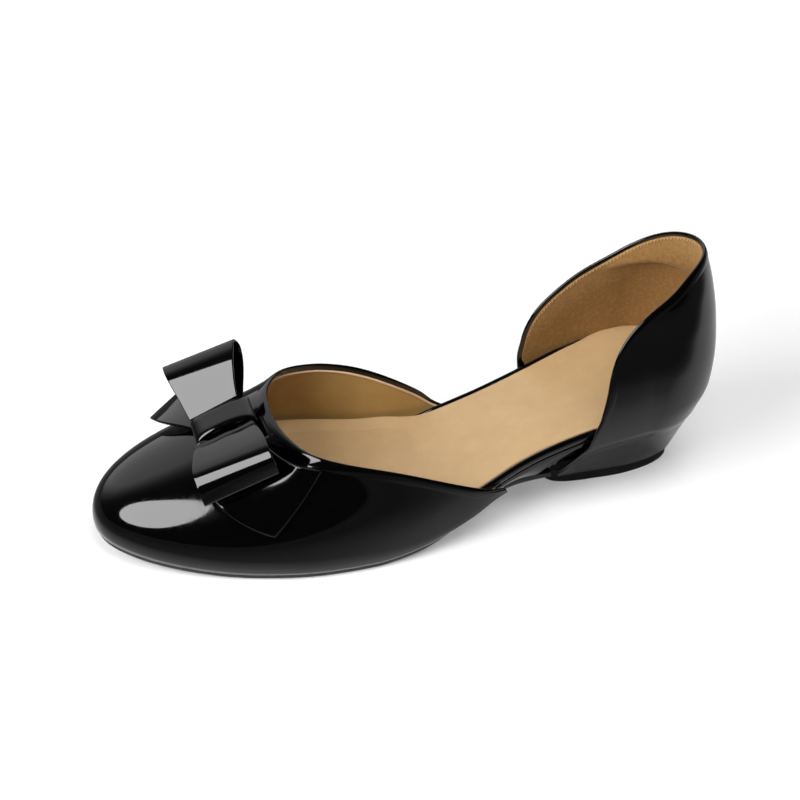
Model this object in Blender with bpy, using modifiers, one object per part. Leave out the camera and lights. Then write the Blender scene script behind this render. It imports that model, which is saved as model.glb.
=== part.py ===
"""Left flat shoe in two pieces with a ribbon bow and a low covered heel.

Sizes are millimetres, turned to metres when a mesh is made. X runs from the heel to the
toe, +Y is the outer side and Z = 0 is the floor. All pieces hang on one empty, which puts
the origin under the middle of the shoe.
"""

import math

import bmesh
import bpy
import numpy as np
from mathutils import Matrix, Vector

MM = 0.001
SHARP_ANGLE = 40.0

# Walls and gaps
GAP = 0.35
SOLE_THICK = 2.5
SOCK_THICK = 1.0
VAMP_WALL = 1.8
QUARTER_WALL = 1.9
BINDING_RADIUS = 1.4
BINDING_CLEAR = 1.9
RIBBON_THICK = 1.1
LIFT_HEIGHT = 5.5
LIFT_FRONT = 69.2
LIFT_INSET = 2.3

# Points on the curves that the meshes are read from
OUTLINE_POINTS = 1201
PLACE_POINTS = 801
PATH_POINTS = 301
CURVE_POINTS = 121
CROWDING = 0.85

# Outline of the last bottom: x, outer edge, inner edge
OUTLINE = (
    (8.0, -1.0, -1.0),
    (10.8, 12.2, -14.2),
    (16.0, 19.4, -21.4),
    (24.5, 25.0, -27.0),
    (35.0, 27.6, -29.2),
    (50.0, 27.8, -28.6),
    (65.0, 28.1, -25.6),
    (80.0, 29.6, -22.9),
    (95.0, 33.5, -22.0),
    (110.0, 39.0, -24.4),
    (125.0, 42.6, -28.2),
    (140.0, 44.5, -33.0),
    (155.0, 45.2, -37.2),
    (170.0, 44.3, -39.4),
    (185.0, 41.2, -39.6),
    (200.0, 36.9, -37.2),
    (214.0, 31.2, -31.8),
    (225.0, 25.0, -25.0),
    (233.0, 18.6, -17.4),
    (238.6, 11.4, -8.6),
    (240.8, 2.0, 2.0),
)

# Side profile: x, tread, underside of the footbed, top of the sock
PROFILE = (
    (5.0, 5.5, 35.6, 41.4),
    (15.0, 5.5, 35.3, 41.0),
    (25.0, 5.5, 34.4, 40.1),
    (35.0, 5.5, 33.1, 38.7),
    (45.0, 5.5, 31.4, 37.0),
    (55.0, 5.5, 29.4, 35.0),
    (65.0, 12.6, 27.0, 32.6),
    (75.0, 13.6, 24.3, 29.9),
    (85.0, 13.8, 21.4, 27.0),
    (95.0, 12.6, 18.2, 23.7),
    (105.0, 9.3, 14.4, 20.2),
    (115.0, 5.6, 10.4, 16.9),
    (125.0, 2.6, 6.6, 14.2),
    (135.0, 0.8, 3.9, 12.5),
    (143.0, 0.0, 2.9, 11.9),
    (165.0, 0.0, 2.9, 11.5),
    (187.0, 0.0, 2.9, 11.6),
    (196.0, 0.3, 3.2, 11.7),
    (206.0, 1.0, 3.9, 11.9),
    (216.0, 1.8, 4.7, 12.2),
    (226.0, 2.8, 5.7, 12.6),
    (240.0, 4.4, 7.3, 13.2),
)

# Edges of the sole, footbed and sock: insets from the outline, and the x over which they change
SOLE_INSET = 1.0
SOLE_WAIST_INSET = 3.4
SOLE_WAIST = (88.0, 128.0)
OUTSOLE_BACK = 71.2
OUTSOLE_BEVEL = 0.5
OUTSOLE_BEVEL_HEIGHT = 0.6
WAIST_BACK = 44.0
WAIST_BACK_FULL = 56.0
WAIST_FRONT_FULL = 102.0
WAIST_FRONT = 118.0
VAMP_START = (92.0, 118.0)
FOOTBED_INSET = 0.3
FOOTBED_VAMP_INSET = 2.2
FOOTBED_TOE_INSET = 0.6
FOOTBED_TOE = (195.0, 225.0)
SOCK_INSET = 0.7
SOCK_WAIST_INSET = 1.8
SOCK_WAIST_MORE = 8.0
SOCK_BEVEL = 0.5
SOCK_BEVEL_HEIGHT = 0.35
NARROWEST_BEVEL = 6

# Vamp sections, from the outer end round the toe to the inner end: foot on the outline
# (x, side), rim (x, y, z), then how the wall leaves the foot and comes to the rim
VAMP = (
    # foot_x, side, rim_x, rim_y, rim_z, rise, bulge, reach, drop
    (92.0, 1, 92.0, 35.4, 20.8, 0.8, 0.1, 0.1, 0.8),
    (99.0, 1, 98.5, 37.2, 22.0, 2.5, 0.3, 0.2, 2.0),
    (107.5, 1, 106.4, 38.2, 24.8, 4.0, 0.8, 0.5, 3.5),
    (121.0, 1, 119.7, 38.7, 30.8, 8.0, 1.6, 1.0, 6.0),
    (135.0, 1, 132.8, 38.6, 36.4, 11.0, 2.2, 1.6, 9.0),
    (147.0, 1, 143.3, 37.6, 39.8, 12.5, 2.6, 2.6, 10.5),
    (160.0, 1, 154.5, 35.0, 42.6, 14.0, 2.9, 4.2, 12.0),
    (175.0, 1, 164.0, 29.5, 44.3, 15.0, 3.1, 8.0, 13.0),
    (195.0, 1, 169.2, 21.0, 44.8, 16.0, 3.2, 15.0, 13.5),
    (219.0, 1, 172.9, 10.8, 45.8, 18.5, 3.0, 28.0, 15.5),
    (240.8, 0, 174.2, 0.0, 46.9, 20.5, 2.8, 39.0, 17.5),
    (219.0, -1, 173.0, -10.8, 46.9, 18.5, 3.0, 28.0, 15.5),
    (197.0, -1, 169.0, -19.5, 46.0, 16.0, 3.2, 15.0, 13.5),
    (178.0, -1, 162.7, -25.7, 44.7, 15.0, 3.1, 7.0, 13.0),
    (161.0, -1, 153.1, -29.4, 42.4, 14.0, 2.8, 4.0, 12.0),
    (149.5, -1, 145.1, -30.2, 40.7, 12.5, 2.4, 2.6, 11.0),
    (139.5, -1, 137.3, -29.0, 39.2, 11.5, 2.0, 1.8, 10.0),
    (131.0, -1, 129.5, -26.7, 37.2, 10.5, 1.7, 1.3, 9.0),
    (122.0, -1, 120.9, -24.6, 33.3, 8.0, 1.4, 0.9, 7.0),
    (112.0, -1, 110.9, -24.2, 26.4, 5.0, 0.9, 0.5, 4.5),
    (106.0, -1, 105.5, -24.2, 21.6, 2.8, 0.4, 0.3, 2.6),
    (100.0, -1, 100.0, -23.4, 18.8, 1.0, 0.2, 0.1, 1.0),
)
VAMP_ENDS_OUT = 2.3
VAMP_ENDS_UP = 2.4
SHOULDER_TURN = 6.0
RIM_WEIGHT = 1.2
VAMP_SPREAD = 0.9

# Heel cup by height: z, back, outer half width, inner half width
CUP = (
    (5.8, 15.4, 14.4, 17.8),
    (12.0, 13.8, 18.2, 20.8),
    (20.0, 11.8, 22.4, 24.8),
    (27.0, 9.6, 26.0, 28.3),
    (33.0, 7.0, 29.6, 31.3),
    (42.0, 3.5, 30.6, 31.9),
    (55.0, 2.3, 29.8, 31.0),
    (68.0, 2.9, 27.6, 28.8),
    (80.0, 4.6, 24.6, 25.4),
    (90.0, 7.0, 21.2, 21.6),
    (99.0, 9.6, 17.6, 17.8),
)
CUP_RUN = 27.0
CUP_FRONT = 40.0
CUP_MIDDLE = -1.0
SEAT_X = 35.0
NARROW_END_X = 100.0
NARROW_FLOOR = 0.5
NARROW_RISE = (6.0, 26.0)
SEAT_RISE = (6.0, 24.0)

# Heel block: clearance inside the quarter as parts of wall and gap, its rings at the heel and
# under the waist, how its sides lean, and where they leave the cup for the footbed's edge
BLOCK_CLEAR_LOW = 1.6
BLOCK_CLEAR_HIGH = 1.4
BLOCK_CLEAR_RISE = (20.0, 36.0)
BLOCK_HEEL = (10.8, 69.4)
BLOCK_WAIST = (70.8, 112.0)
BLOCK_WAIST_RINGS = 12
BLOCK_TOP = 40.0
BLOCK_LEAN = 3.0
BLOCK_LEAN_POWER = 1.5
BLOCK_TURN = 12.0
BLOCK_OUTER_START = 69.5
BLOCK_OUTER_SLOPE = 0.41
BLOCK_OUTER_RISE = (8.0, 31.0)
BLOCK_INNER_START = 70.5
BLOCK_INNER_SHIFT = 2.5
BLOCK_INNER_RISE = (10.0, 24.0)

# Quarter sections, from the outer front edge round the back to the inner front edge
QUARTER = (
    # side, top_x, top_z, foot_x
    (1, 65.4, 8.6, 65.6),
    (1, 63.4, 14.5, 62.4),
    (1, 60.4, 22.5, 58.4),
    (1, 57.0, 31.0, 54.4),
    (1, 54.2, 39.5, 50.4),
    (1, 52.0, 49.0, 46.4),
    (1, 50.3, 59.0, 42.4),
    (1, 46.8, 69.0, 38.0),
    (1, 41.0, 76.5, 33.0),
    (1, 33.0, 82.5, 28.0),
    (1, 24.0, 87.6, 23.4),
    (1, 15.0, 91.6, 19.4),
    (0, 8.6, 92.2, 15.4),
    (-1, 14.0, 89.2, 19.4),
    (-1, 24.0, 82.4, 23.4),
    (-1, 34.0, 75.4, 28.0),
    (-1, 45.0, 69.0, 34.0),
    (-1, 54.5, 62.4, 40.0),
    (-1, 61.6, 56.2, 45.6),
    (-1, 66.2, 49.0, 50.4),
    (-1, 68.6, 40.0, 54.6),
    (-1, 69.4, 31.0, 58.2),
    (-1, 69.0, 22.5, 61.4),
    (-1, 67.8, 14.5, 64.0),
    (-1, 66.2, 8.6, 66.0),
)

# Bow: centre, slope along the instep, slope across, then the folds of the two loops
BOW_CENTRE = (190.5, 0.5, 45.4)
BOW_PITCH = 20.0
BOW_ROLL = 6.0
LOOP_OUTER = (
    # out, up, half_width, forward, skew, twist
    (9.9, -0.3, 10.6, 0.7, 0.0, 0.0),
    (14.0, -0.8, 11.8, 1.0, 0.0, 0.0),
    (21.0, -1.5, 13.2, 1.4, -0.1, -0.1),
    (28.0, -2.4, 14.2, 1.8, -0.3, -0.2),
    (33.0, -2.9, 14.5, 1.9, -0.4, -0.3),
    (35.8, -2.3, 14.6, 1.9, -0.5, -0.3),
    (36.7, -1.0, 14.6, 1.9, -0.7, -0.4),
    (36.6, 0.9, 14.6, 1.8, -1.1, -0.5),
    (35.9, 3.6, 14.6, 1.5, -1.6, -0.6),
    (34.7, 5.5, 14.6, 1.4, -1.8, -0.7),
    (33.1, 6.8, 14.5, 1.3, -1.8, -0.7),
    (31.2, 7.65, 14.5, 1.3, -1.7, -0.7),
    (28.5, 8.05, 14.4, 1.2, -1.5, -0.7),
    (24.5, 7.6, 14.0, 1.0, -1.0, -0.6),
    (20.0, 6.6, 13.2, 0.9, -0.5, -0.4),
    (15.5, 5.4, 12.2, 0.8, -0.1, -0.2),
    (12.4, 4.4, 11.4, 0.7, 0.0, -0.1),
    (9.9, 3.3, 10.6, 0.7, 0.0, 0.0),
)
LOOP_INNER = (
    # out, up, half_width, forward, skew, twist
    (4.4, -1.2, 10.0, 0.8, 0.2, -0.6),
    (12.0, 0.3, 11.2, -0.5, 0.4, -0.6),
    (19.0, 2.8, 12.8, -1.6, 1.0, -0.8),
    (24.0, 5.2, 14.0, -1.8, 1.4, -1.1),
    (26.8, 7.2, 14.5, -1.4, 1.8, -1.3),
    (27.5, 9.0, 14.5, -0.9, 2.2, -1.4),
    (26.6, 10.7, 14.4, -0.5, 2.5, -1.4),
    (24.6, 11.8, 14.2, -0.3, 2.6, -1.4),
    (22.0, 12.0, 13.9, 0.0, 2.6, -1.3),
    (19.0, 11.5, 13.3, 0.4, 2.5, -1.2),
    (16.0, 10.3, 12.6, 0.8, 2.4, -1.2),
    (13.0, 8.5, 11.8, 1.1, 2.1, -1.2),
    (10.0, 6.4, 11.0, 1.4, 1.7, -1.1),
    (7.0, 4.3, 10.4, 1.6, 1.0, -1.1),
    (4.4, 2.6, 9.9, 1.7, 0.3, -1.0),
)
KNOT_SHIFT = 3.0
KNOT_HALF_WIDTH = 6.2
KNOT_HALF_LENGTH = 11.8
KNOT_LOW = -1.55
KNOT_HIGH = 5.4
KNOT_ROUND = 2.8
KNOT_SEGMENTS = 4

# Tail strip on the vamp, from the outer end to the inner end: place of its heel edge
# and its toe edge as (section, part of the way up), and how far it stands off
TAIL = (
    # heel_section, heel_part, heel_off, toe_section, toe_part, toe_off
    (6.5, 0.98, 0.8, 7.4, 0.36, 0.8),
    (8.3, 0.92, 3.4, 8.9, 0.5, 2.8),
    (10.0, 0.91, 1.1, 10.0, 0.7, 1.1),
    (11.2, 0.72, 4.2, 10.6, 0.5, 2.6),
    (11.9, 0.48, 13.6, 11.0, 0.31, 5.2),
)


def spline(knots, values, at):
    """Smooth curve through the rows of values."""
    knots = np.asarray(knots, float)
    values = np.asarray(values, float).reshape(len(knots), -1)
    at = np.clip(np.atleast_1d(np.asarray(at, float)), knots[0], knots[-1])
    count = len(knots)
    step = np.diff(knots)
    slope = np.diff(values, axis=0) / step[:, None]
    system = np.eye(count)
    right = np.zeros_like(values)
    for i in range(1, count - 1):
        system[i, i - 1] = step[i - 1]
        system[i, i] = 2 * (step[i - 1] + step[i])
        system[i, i + 1] = step[i]
        right[i] = 6 * (slope[i] - slope[i - 1])
    bend = np.linalg.solve(system, right)
    i = np.clip(np.searchsorted(knots, at, side="right") - 1, 0, count - 2)
    h = step[i][:, None]
    t = (at - knots[i])[:, None]
    first = slope[i] - h * (2 * bend[i] + bend[i + 1]) / 6
    third = (bend[i + 1] - bend[i]) / (6 * h)
    return values[i] + t * (first + t * (bend[i] / 2 + t * third))


def even(knots, values, at):
    """Curve through a table that never overshoots it, and is flat where the table is flat."""
    knots = np.asarray(knots, float)
    values = np.asarray(values, float)
    at = np.clip(np.asarray(at, float), knots[0], knots[-1])
    step = np.diff(knots)
    rise = np.diff(values) / step
    slope = np.concatenate([rise[:1], np.zeros(len(knots) - 2), rise[-1:]])
    for i in range(1, len(knots) - 1):
        if rise[i - 1] * rise[i] > 0:
            slope[i] = 2 * rise[i - 1] * rise[i] / (rise[i - 1] + rise[i])
    i = np.clip(np.searchsorted(knots, at, side="right") - 1, 0, len(knots) - 2)
    h = step[i]
    t = (at - knots[i]) / h
    low = values[i] * (1 + 2 * t) * (1 - t) ** 2 + slope[i] * h * t * (1 - t) ** 2
    high = values[i + 1] * t * t * (3 - 2 * t) + slope[i + 1] * h * t * t * (t - 1)
    return low + high


def blend(x, low, high):
    t = np.clip((np.asarray(x, float) - low) / (high - low), 0, 1)
    return t * t * (3 - 2 * t)


def lengths(points):
    return np.concatenate([[0], np.cumsum(np.linalg.norm(np.diff(points, axis=0), axis=1))])


# Last bottom
def outline_loop():
    """Dense outline from the heel along the outer side to the toe, then back along the inner side."""
    outer = [(x, near) for x, near, far in OUTLINE]
    inner = [(x, far) for x, near, far in OUTLINE[-2::-1]]
    points = np.array(outer + inner)
    run = lengths(points)
    return spline(run, points, np.linspace(0, run[-1], OUTLINE_POINTS))


LOOP_POINTS = outline_loop()
LOOP_RUN = lengths(LOOP_POINTS)
TOE_INDEX = int(LOOP_POINTS[:, 0].argmax())


def loop_normals(points):
    along = np.gradient(points, axis=0)
    normal = np.stack([along[:, 1], -along[:, 0]], 1)
    normal /= np.linalg.norm(normal, axis=1)[:, None]
    return -normal


LOOP_OUT = loop_normals(LOOP_POINTS)


def profile(column, x):
    table = np.array(PROFILE)
    return even(table[:, 0], table[:, column], x)


def tread(x):
    return profile(1, x)


def footbed_under(x):
    return profile(2, x)


def sock_top(x):
    return profile(3, x)


def edges(inset):
    """Outline moved inwards by inset(x), as functions for the outer and the inner edge."""
    moved = LOOP_POINTS - LOOP_OUT * inset(LOOP_POINTS[:, 0])[:, None]
    toe = int(moved[:, 0].argmax())
    outer = moved[: toe + 1]
    inner = moved[toe:][::-1]
    low = max(outer[:, 0].min(), inner[:, 0].min())
    high = moved[toe, 0]
    outer = outer[outer[:, 0].argmin() :]
    inner = inner[inner[:, 0].argmin() :]

    def outer_edge(x):
        return np.interp(x, outer[:, 0], outer[:, 1])

    def inner_edge(x):
        return np.interp(x, inner[:, 0], inner[:, 1])

    return outer_edge, inner_edge, low, high


def stations(low, high, count, ends=0.04):
    """Places along the foot, closer together at the round ends."""
    t = np.linspace(0, 1, count)
    t = t - CROWDING * np.sin(2 * math.pi * t) / (2 * math.pi)
    return low + ends + (high - low - 2 * ends) * t


# Blender objects
def material(name, colour, roughness, coat=0.0):
    made = bpy.data.materials.new(name)
    made.use_nodes = True
    shader = made.node_tree.nodes["Principled BSDF"]
    shader.inputs["Base Color"].default_value = (*colour, 1)
    shader.inputs["Roughness"].default_value = roughness
    shader.inputs["Coat Weight"].default_value = coat
    return made


def add_object(name, data, look):
    data.materials.append(look)
    made = bpy.data.objects.new(name, data)
    bpy.data.collections["flat_shoe"].objects.link(made)
    made.parent = bpy.data.objects["shoe_frame"]
    return made


def add_mesh(name, points, faces, look):
    mesh = bpy.data.meshes.new(name)
    mesh.from_pydata((np.asarray(points) * MM).tolist(), [], faces)
    mesh.shade_smooth()
    mesh.set_sharp_from_angle(angle=math.radians(SHARP_ANGLE))
    return add_object(name, mesh, look)


def wall(name, grid, thick, look):
    """Open surface through a grid of points, thickened away from the side its normals face."""
    rows, columns = grid.shape[:2]
    faces = []
    for i in range(rows - 1):
        for j in range(columns - 1):
            a = i * columns + j
            faces.append((a, a + columns, a + columns + 1, a + 1))
    made = add_mesh(name, grid.reshape(-1, 3), faces, look)
    solidify = made.modifiers.new("wall", "SOLIDIFY")
    solidify.thickness = thick * MM
    solidify.offset = -1


def loft(name, rings, look):
    """Solid through closed rings with as many points each, capped at both ends."""
    rings = np.asarray(rings, float)
    count, around = rings.shape[:2]
    faces = []
    for i in range(count - 1):
        for j in range(around):
            k = (j + 1) % around
            a = i * around
            b = a + around
            faces.append((a + j, a + k, b + k, b + j))
    faces.append(tuple(reversed(range(around))))
    faces.append(tuple((count - 1) * around + j for j in range(around)))
    add_mesh(name, rings.reshape(-1, 3), faces, look)


def poly_curve(name, dimensions, points, cyclic):
    curve = bpy.data.curves.new(name, "CURVE")
    curve.dimensions = dimensions
    line = curve.splines.new("POLY")
    line.points.add(len(points) - 1)
    for spot, point in zip(line.points, points):
        spot.co = (*(np.asarray(point) * MM), 1)
    line.use_cyclic_u = cyclic
    return curve


def cord(name, path, radius, look):
    """Round cord along a path."""
    curve = poly_curve(name, "3D", path, False)
    curve.bevel_depth = radius * MM
    curve.bevel_resolution = 2
    curve.use_fill_caps = True
    add_object(name, curve, look)


# Sole, footbed and sock
def sole_inset(x):
    return SOLE_INSET + SOLE_WAIST_INSET * (1 - blend(x, *SOLE_WAIST))


def waist(x, more=0.0):
    """1 where the footbed's edge shows between the quarter and the vamp, 0 elsewhere."""
    back = blend(x, WAIST_BACK - more, WAIST_BACK_FULL - more)
    return back * (1 - blend(x, WAIST_FRONT_FULL + more, WAIST_FRONT + more))


def footbed_inset(x):
    under_vamp = FOOTBED_VAMP_INSET * blend(x, *VAMP_START)
    return FOOTBED_INSET + under_vamp + FOOTBED_TOE_INSET * blend(x, *FOOTBED_TOE)


def sock_inset(x):
    return footbed_inset(x) + SOCK_INSET + SOCK_WAIST_INSET * waist(x, SOCK_WAIST_MORE)


def make_outsole(count, look):
    outer, inner, _, toe = edges(sole_inset)
    rings = []
    for x in stations(OUTSOLE_BACK, toe, count):
        low_z = tread(x)
        top_z = low_z + SOLE_THICK
        a = outer(x)
        b = inner(x)
        bevel = min(OUTSOLE_BEVEL, (a - b) / NARROWEST_BEVEL)
        rings.append(
            (
                (x, a - bevel, low_z),
                (x, a, low_z + OUTSOLE_BEVEL_HEIGHT),
                (x, a, top_z),
                (x, b, top_z),
                (x, b, low_z + OUTSOLE_BEVEL_HEIGHT),
                (x, b + bevel, low_z),
            )
        )
    loft("outsole", rings, look)


# Footbed edge from its top to its underside: inset, depth as a part of the thickness, and
# how far the wrapped bead rises at the waist
FOOTBED_EDGE = (
    (2.1, 0.0, 0.0),
    (1.9, 0.0, 0.95),
    (1.1, 0.0, 1.45),
    (0.25, 0.10, 0.95),
    (0.0, 0.28, 0.4),
    (0.4, 0.46, 0.0),
    (0.9, 0.52, 0.0),
    (0.55, 0.62, 0.0),
    (0.6, 1.0, 0.0),
)


def make_footbed(count, look):
    outer, inner, low, high = edges(footbed_inset)
    rings = []
    for x in stations(low, high, count):
        top_z = sock_top(x) - SOCK_THICK - GAP
        deep = top_z - footbed_under(x)
        a = outer(x)
        b = inner(x)
        small = min(1.0, (a - b) / NARROWEST_BEVEL)
        bead = waist(x)
        near = []
        far = []
        for inset, part, rise in FOOTBED_EDGE:
            z = top_z - deep * part + bead * rise
            near.append((x, a - small * inset, z))
            far.append((x, b + small * inset, z))
        rings.append(near[::-1] + far)
    loft("footbed", rings, look)


def make_sock(count, look):
    outer, inner, low, high = edges(sock_inset)
    rings = []
    for x in stations(low, high, count):
        top_z = sock_top(x)
        a = outer(x)
        b = inner(x)
        soft = min(SOCK_BEVEL, (a - b) / NARROWEST_BEVEL)
        rings.append(
            (
                (x, a, top_z - SOCK_THICK),
                (x, a, top_z - SOCK_BEVEL_HEIGHT),
                (x, a - soft, top_z),
                (x, b + soft, top_z),
                (x, b, top_z - SOCK_BEVEL_HEIGHT),
                (x, b, top_z - SOCK_THICK),
            )
        )
    loft("insole_sock", rings, look)


# Vamp
def vamp_rows():
    """Foot, two handles and rim of each section, as four points a row."""
    rows = []
    for foot_x, side, rim_x, rim_y, rim_z, rise, bulge, reach, drop in VAMP:
        if side == 0:
            index = TOE_INDEX
        elif side > 0:
            index = int(np.abs(LOOP_POINTS[:TOE_INDEX, 0] - foot_x).argmin())
        else:
            index = TOE_INDEX + int(np.abs(LOOP_POINTS[TOE_INDEX:, 0] - foot_x).argmin())
        rows.append((LOOP_RUN[index], rim_x, rim_y, rim_z, rise, bulge, reach, drop))
    return np.array(rows)


def vamp_curves(places):
    """Control points of the sections at places, counted in rows of the table."""
    rows = vamp_rows()
    number = np.arange(len(rows))
    run = even(number, rows[:, 0], places)
    rest = spline(number, rows[:, 1:], places)
    foot_xy = np.stack([np.interp(run, LOOP_RUN, LOOP_POINTS[:, k]) for k in (0, 1)], 1)
    out = np.stack([np.interp(run, LOOP_RUN, LOOP_OUT[:, k]) for k in (0, 1)], 1)
    out /= np.linalg.norm(out, axis=1)[:, None]
    ends = 1 - blend(foot_xy[:, 0], *VAMP_START)
    foot_xy = foot_xy + out * (VAMP_ENDS_OUT * ends)[:, None]
    foot_z = tread(foot_xy[:, 0]) + SOLE_THICK + GAP + VAMP_ENDS_UP * ends**3
    foot = np.column_stack([foot_xy, foot_z])
    rim = rest[:, :3]
    rise, bulge, reach, drop = rest[:, 3:].T
    handle = foot + np.column_stack([out * bulge[:, None], rise])
    away = foot[:, :2] - rim[:, :2]
    away /= np.maximum(np.linalg.norm(away, axis=1), 1e-6)[:, None]
    mix = np.clip(reach / SHOULDER_TURN, 0, 1)[:, None]
    away = away * mix + out * (1 - mix)
    away /= np.linalg.norm(away, axis=1)[:, None]
    shoulder = rim + np.column_stack([away * reach[:, None], -drop])
    return np.stack([foot, handle, shoulder, rim], 1)


def vamp_rim(count):
    return vamp_curves(np.linspace(0, len(VAMP) - 1, count))[:, 3]


def vamp_surface(places, parts):
    """Points of the outer face: parts runs from the foot (0) to the rim (1)."""
    control = vamp_curves(places)
    rim = vamp_rim(PATH_POINTS)
    fine = np.linspace(0, 1, CURVE_POINTS)
    rest = 1 - fine
    weights = np.stack([rest**3, 3 * fine * rest**2, 3 * fine**2 * rest, fine**3], 1)
    parts = np.broadcast_to(parts, (len(places), np.shape(parts)[-1]))
    rows = []
    for points, wanted in zip(control, parts):
        curve = weights @ points
        rows.append(up_to_binding(curve, rim, wanted))
    return np.array(rows)


def up_to_binding(curve, path, parts):
    """Points along a curve, which stops a gap short of the binding that runs along path."""
    run = lengths(curve)
    away = np.linalg.norm(curve[:, None] - path, axis=2).min(axis=1)
    last = int(np.nonzero(away > BINDING_CLEAR)[0].max())
    share = (away[last] - BINDING_CLEAR) / (away[last] - away[last + 1])
    full = run[last] + share * (run[last + 1] - run[last])
    return np.stack([np.interp(parts * full, run, curve[:, k]) for k in range(3)], 1)


def vamp_places(count):
    """Section places spaced evenly along foot and rim together."""
    fine = np.linspace(0, len(VAMP) - 1, PLACE_POINTS)
    control = vamp_curves(fine)
    run = lengths(control[:, 0]) + RIM_WEIGHT * lengths(control[:, 3])
    return np.interp(np.linspace(0, run[-1], count), run, fine)


def make_vamp(count, levels, look):
    places = vamp_places(count)[::-1]
    wall("vamp", vamp_surface(places, np.linspace(0, 1, levels) ** VAMP_SPREAD), VAMP_WALL, look)


def spaced(points, count):
    """As many points, evenly spaced along a line through the given ones."""
    run = lengths(points)
    at = np.linspace(0, run[-1], count)
    return np.stack([np.interp(at, run, points[:, k]) for k in range(3)], 1)


def make_vamp_binding(count, look):
    cord("vamp_binding", spaced(vamp_rim(PATH_POINTS), count), BINDING_RADIUS, look)


# Heel
def cup_row(z):
    table = np.array(CUP)
    return [even(table[:, 0], table[:, k], z) for k in (1, 2, 3)]


def narrowing(side, x, z):
    """How much the last narrows ahead of the heel seat, less so near the floor."""
    x = np.clip(x, SEAT_X, NARROW_END_X)
    table = np.array(OUTLINE)
    edge = spline(table[:, 0], np.abs(table[:, 1 if side > 0 else 2]), np.append(x.ravel(), SEAT_X))[:, 0]
    share = NARROW_FLOOR + (1 - NARROW_FLOOR) * blend(z, *NARROW_RISE)
    return (edge[-1] - edge[:-1]).reshape(x.shape) * share


def seat_height(x, z):
    """Height on the cup's table: the seat slopes down ahead of the heel, and the cup follows it."""
    drop = sock_top(SEAT_X) - sock_top(np.maximum(x, SEAT_X))
    return z + drop * blend(z, *SEAT_RISE)


def cup_place(x, z):
    """Place round the cup of a point given by its x: 0 at the back, 1 where the sides begin."""
    back = cup_row(z)[0]
    share = np.clip(1 - (x - back) / CUP_RUN, 0, 1)
    round_part = np.arccos(share) / (math.pi / 2)
    return np.where(x > back + CUP_RUN, 1 + (x - back - CUP_RUN) / CUP_FRONT, round_part)


def cup_point(place, z):
    """Point of the cup's outer face. Positive places are the outer side."""
    place = np.asarray(place, float)
    z = np.asarray(z, float) + 0 * place
    side = np.where(place >= 0, 1.0, -1.0)
    turn = np.minimum(np.abs(place), 1) * math.pi / 2
    ahead = np.maximum(np.abs(place) - 1, 0) * CUP_FRONT
    x = cup_row(z)[0] + CUP_RUN * (1 - np.cos(turn)) + ahead
    outer, inner = cup_row(seat_height(x, z))[1:]
    width = np.where(side > 0, outer - narrowing(1, x, z), inner - narrowing(-1, x, z))
    middle = CUP_MIDDLE * (1 - blend(np.abs(place), 0.0, 0.8))
    return np.stack([x, middle + side * width * np.sin(turn), z], -1)


def quarter_rows():
    rows = []
    for side, top_x, top_z, foot_x in QUARTER:
        turn = 1.0 if side >= 0 else -1.0
        top = turn * float(cup_place(top_x, top_z)) if side else 0.0
        foot = turn * float(cup_place(foot_x, CUP[0][0])) if side else 0.0
        rows.append((top, top_z, foot))
    return np.array(rows)


def quarter_top(places):
    rows = quarter_rows()
    return spline(np.arange(len(rows)), rows, places)


def quarter_surface(places, parts):
    low = LIFT_HEIGHT + GAP
    edge = quarter_path(PATH_POINTS)
    fine = np.linspace(0, 1, CURVE_POINTS)
    rows = []
    for top, top_z, foot in quarter_top(places):
        curve = cup_point(foot + (top - foot) * fine, low + (top_z - low) * fine)
        rows.append(up_to_binding(curve, edge, parts))
    return np.array(rows)


def quarter_path(count):
    top = quarter_top(np.linspace(0, len(QUARTER) - 1, PATH_POINTS))
    return spaced(cup_point(top[:, 0], top[:, 1]), count)


def quarter_places(count):
    fine = np.linspace(0, len(QUARTER) - 1, PLACE_POINTS)
    top = quarter_top(fine)
    path = cup_point(top[:, 0], top[:, 1])
    low = cup_point(top[:, 2], np.full(len(top), LIFT_HEIGHT + GAP))
    run = lengths(path) + lengths(low)
    return np.interp(np.linspace(0, run[-1], count), run, fine)


def make_quarter(count, levels, look):
    grid = quarter_surface(quarter_places(count), np.linspace(0, 1, levels))
    wall("quarter", grid, QUARTER_WALL, look)


def make_quarter_binding(count, look):
    cord("quarter_binding", quarter_path(count), BINDING_RADIUS, look)


def block_inset(z):
    """Clearance inside the quarter, more where the wall leans."""
    share = blend(z, *BLOCK_CLEAR_RISE)
    return (QUARTER_WALL + GAP) * (BLOCK_CLEAR_LOW + (BLOCK_CLEAR_HIGH - BLOCK_CLEAR_LOW) * share)


def block_side(side, x, z):
    """Edge of the heel block inside the cup, at one x and a row of heights."""
    inset = block_inset(z)
    back = cup_row(z)[0] + inset
    share = np.clip((back + CUP_RUN - inset - x) / (CUP_RUN - inset), 0, 1)
    across = x + 0 * z
    width = cup_row(seat_height(across, z))[1 if side > 0 else 2] - narrowing(side, across, z) - inset
    middle = CUP_MIDDLE * (1 - blend(np.sqrt(1 - share**2), 0.0, 0.95))
    return middle + side * width * np.sqrt(1 - share**2)


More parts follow.
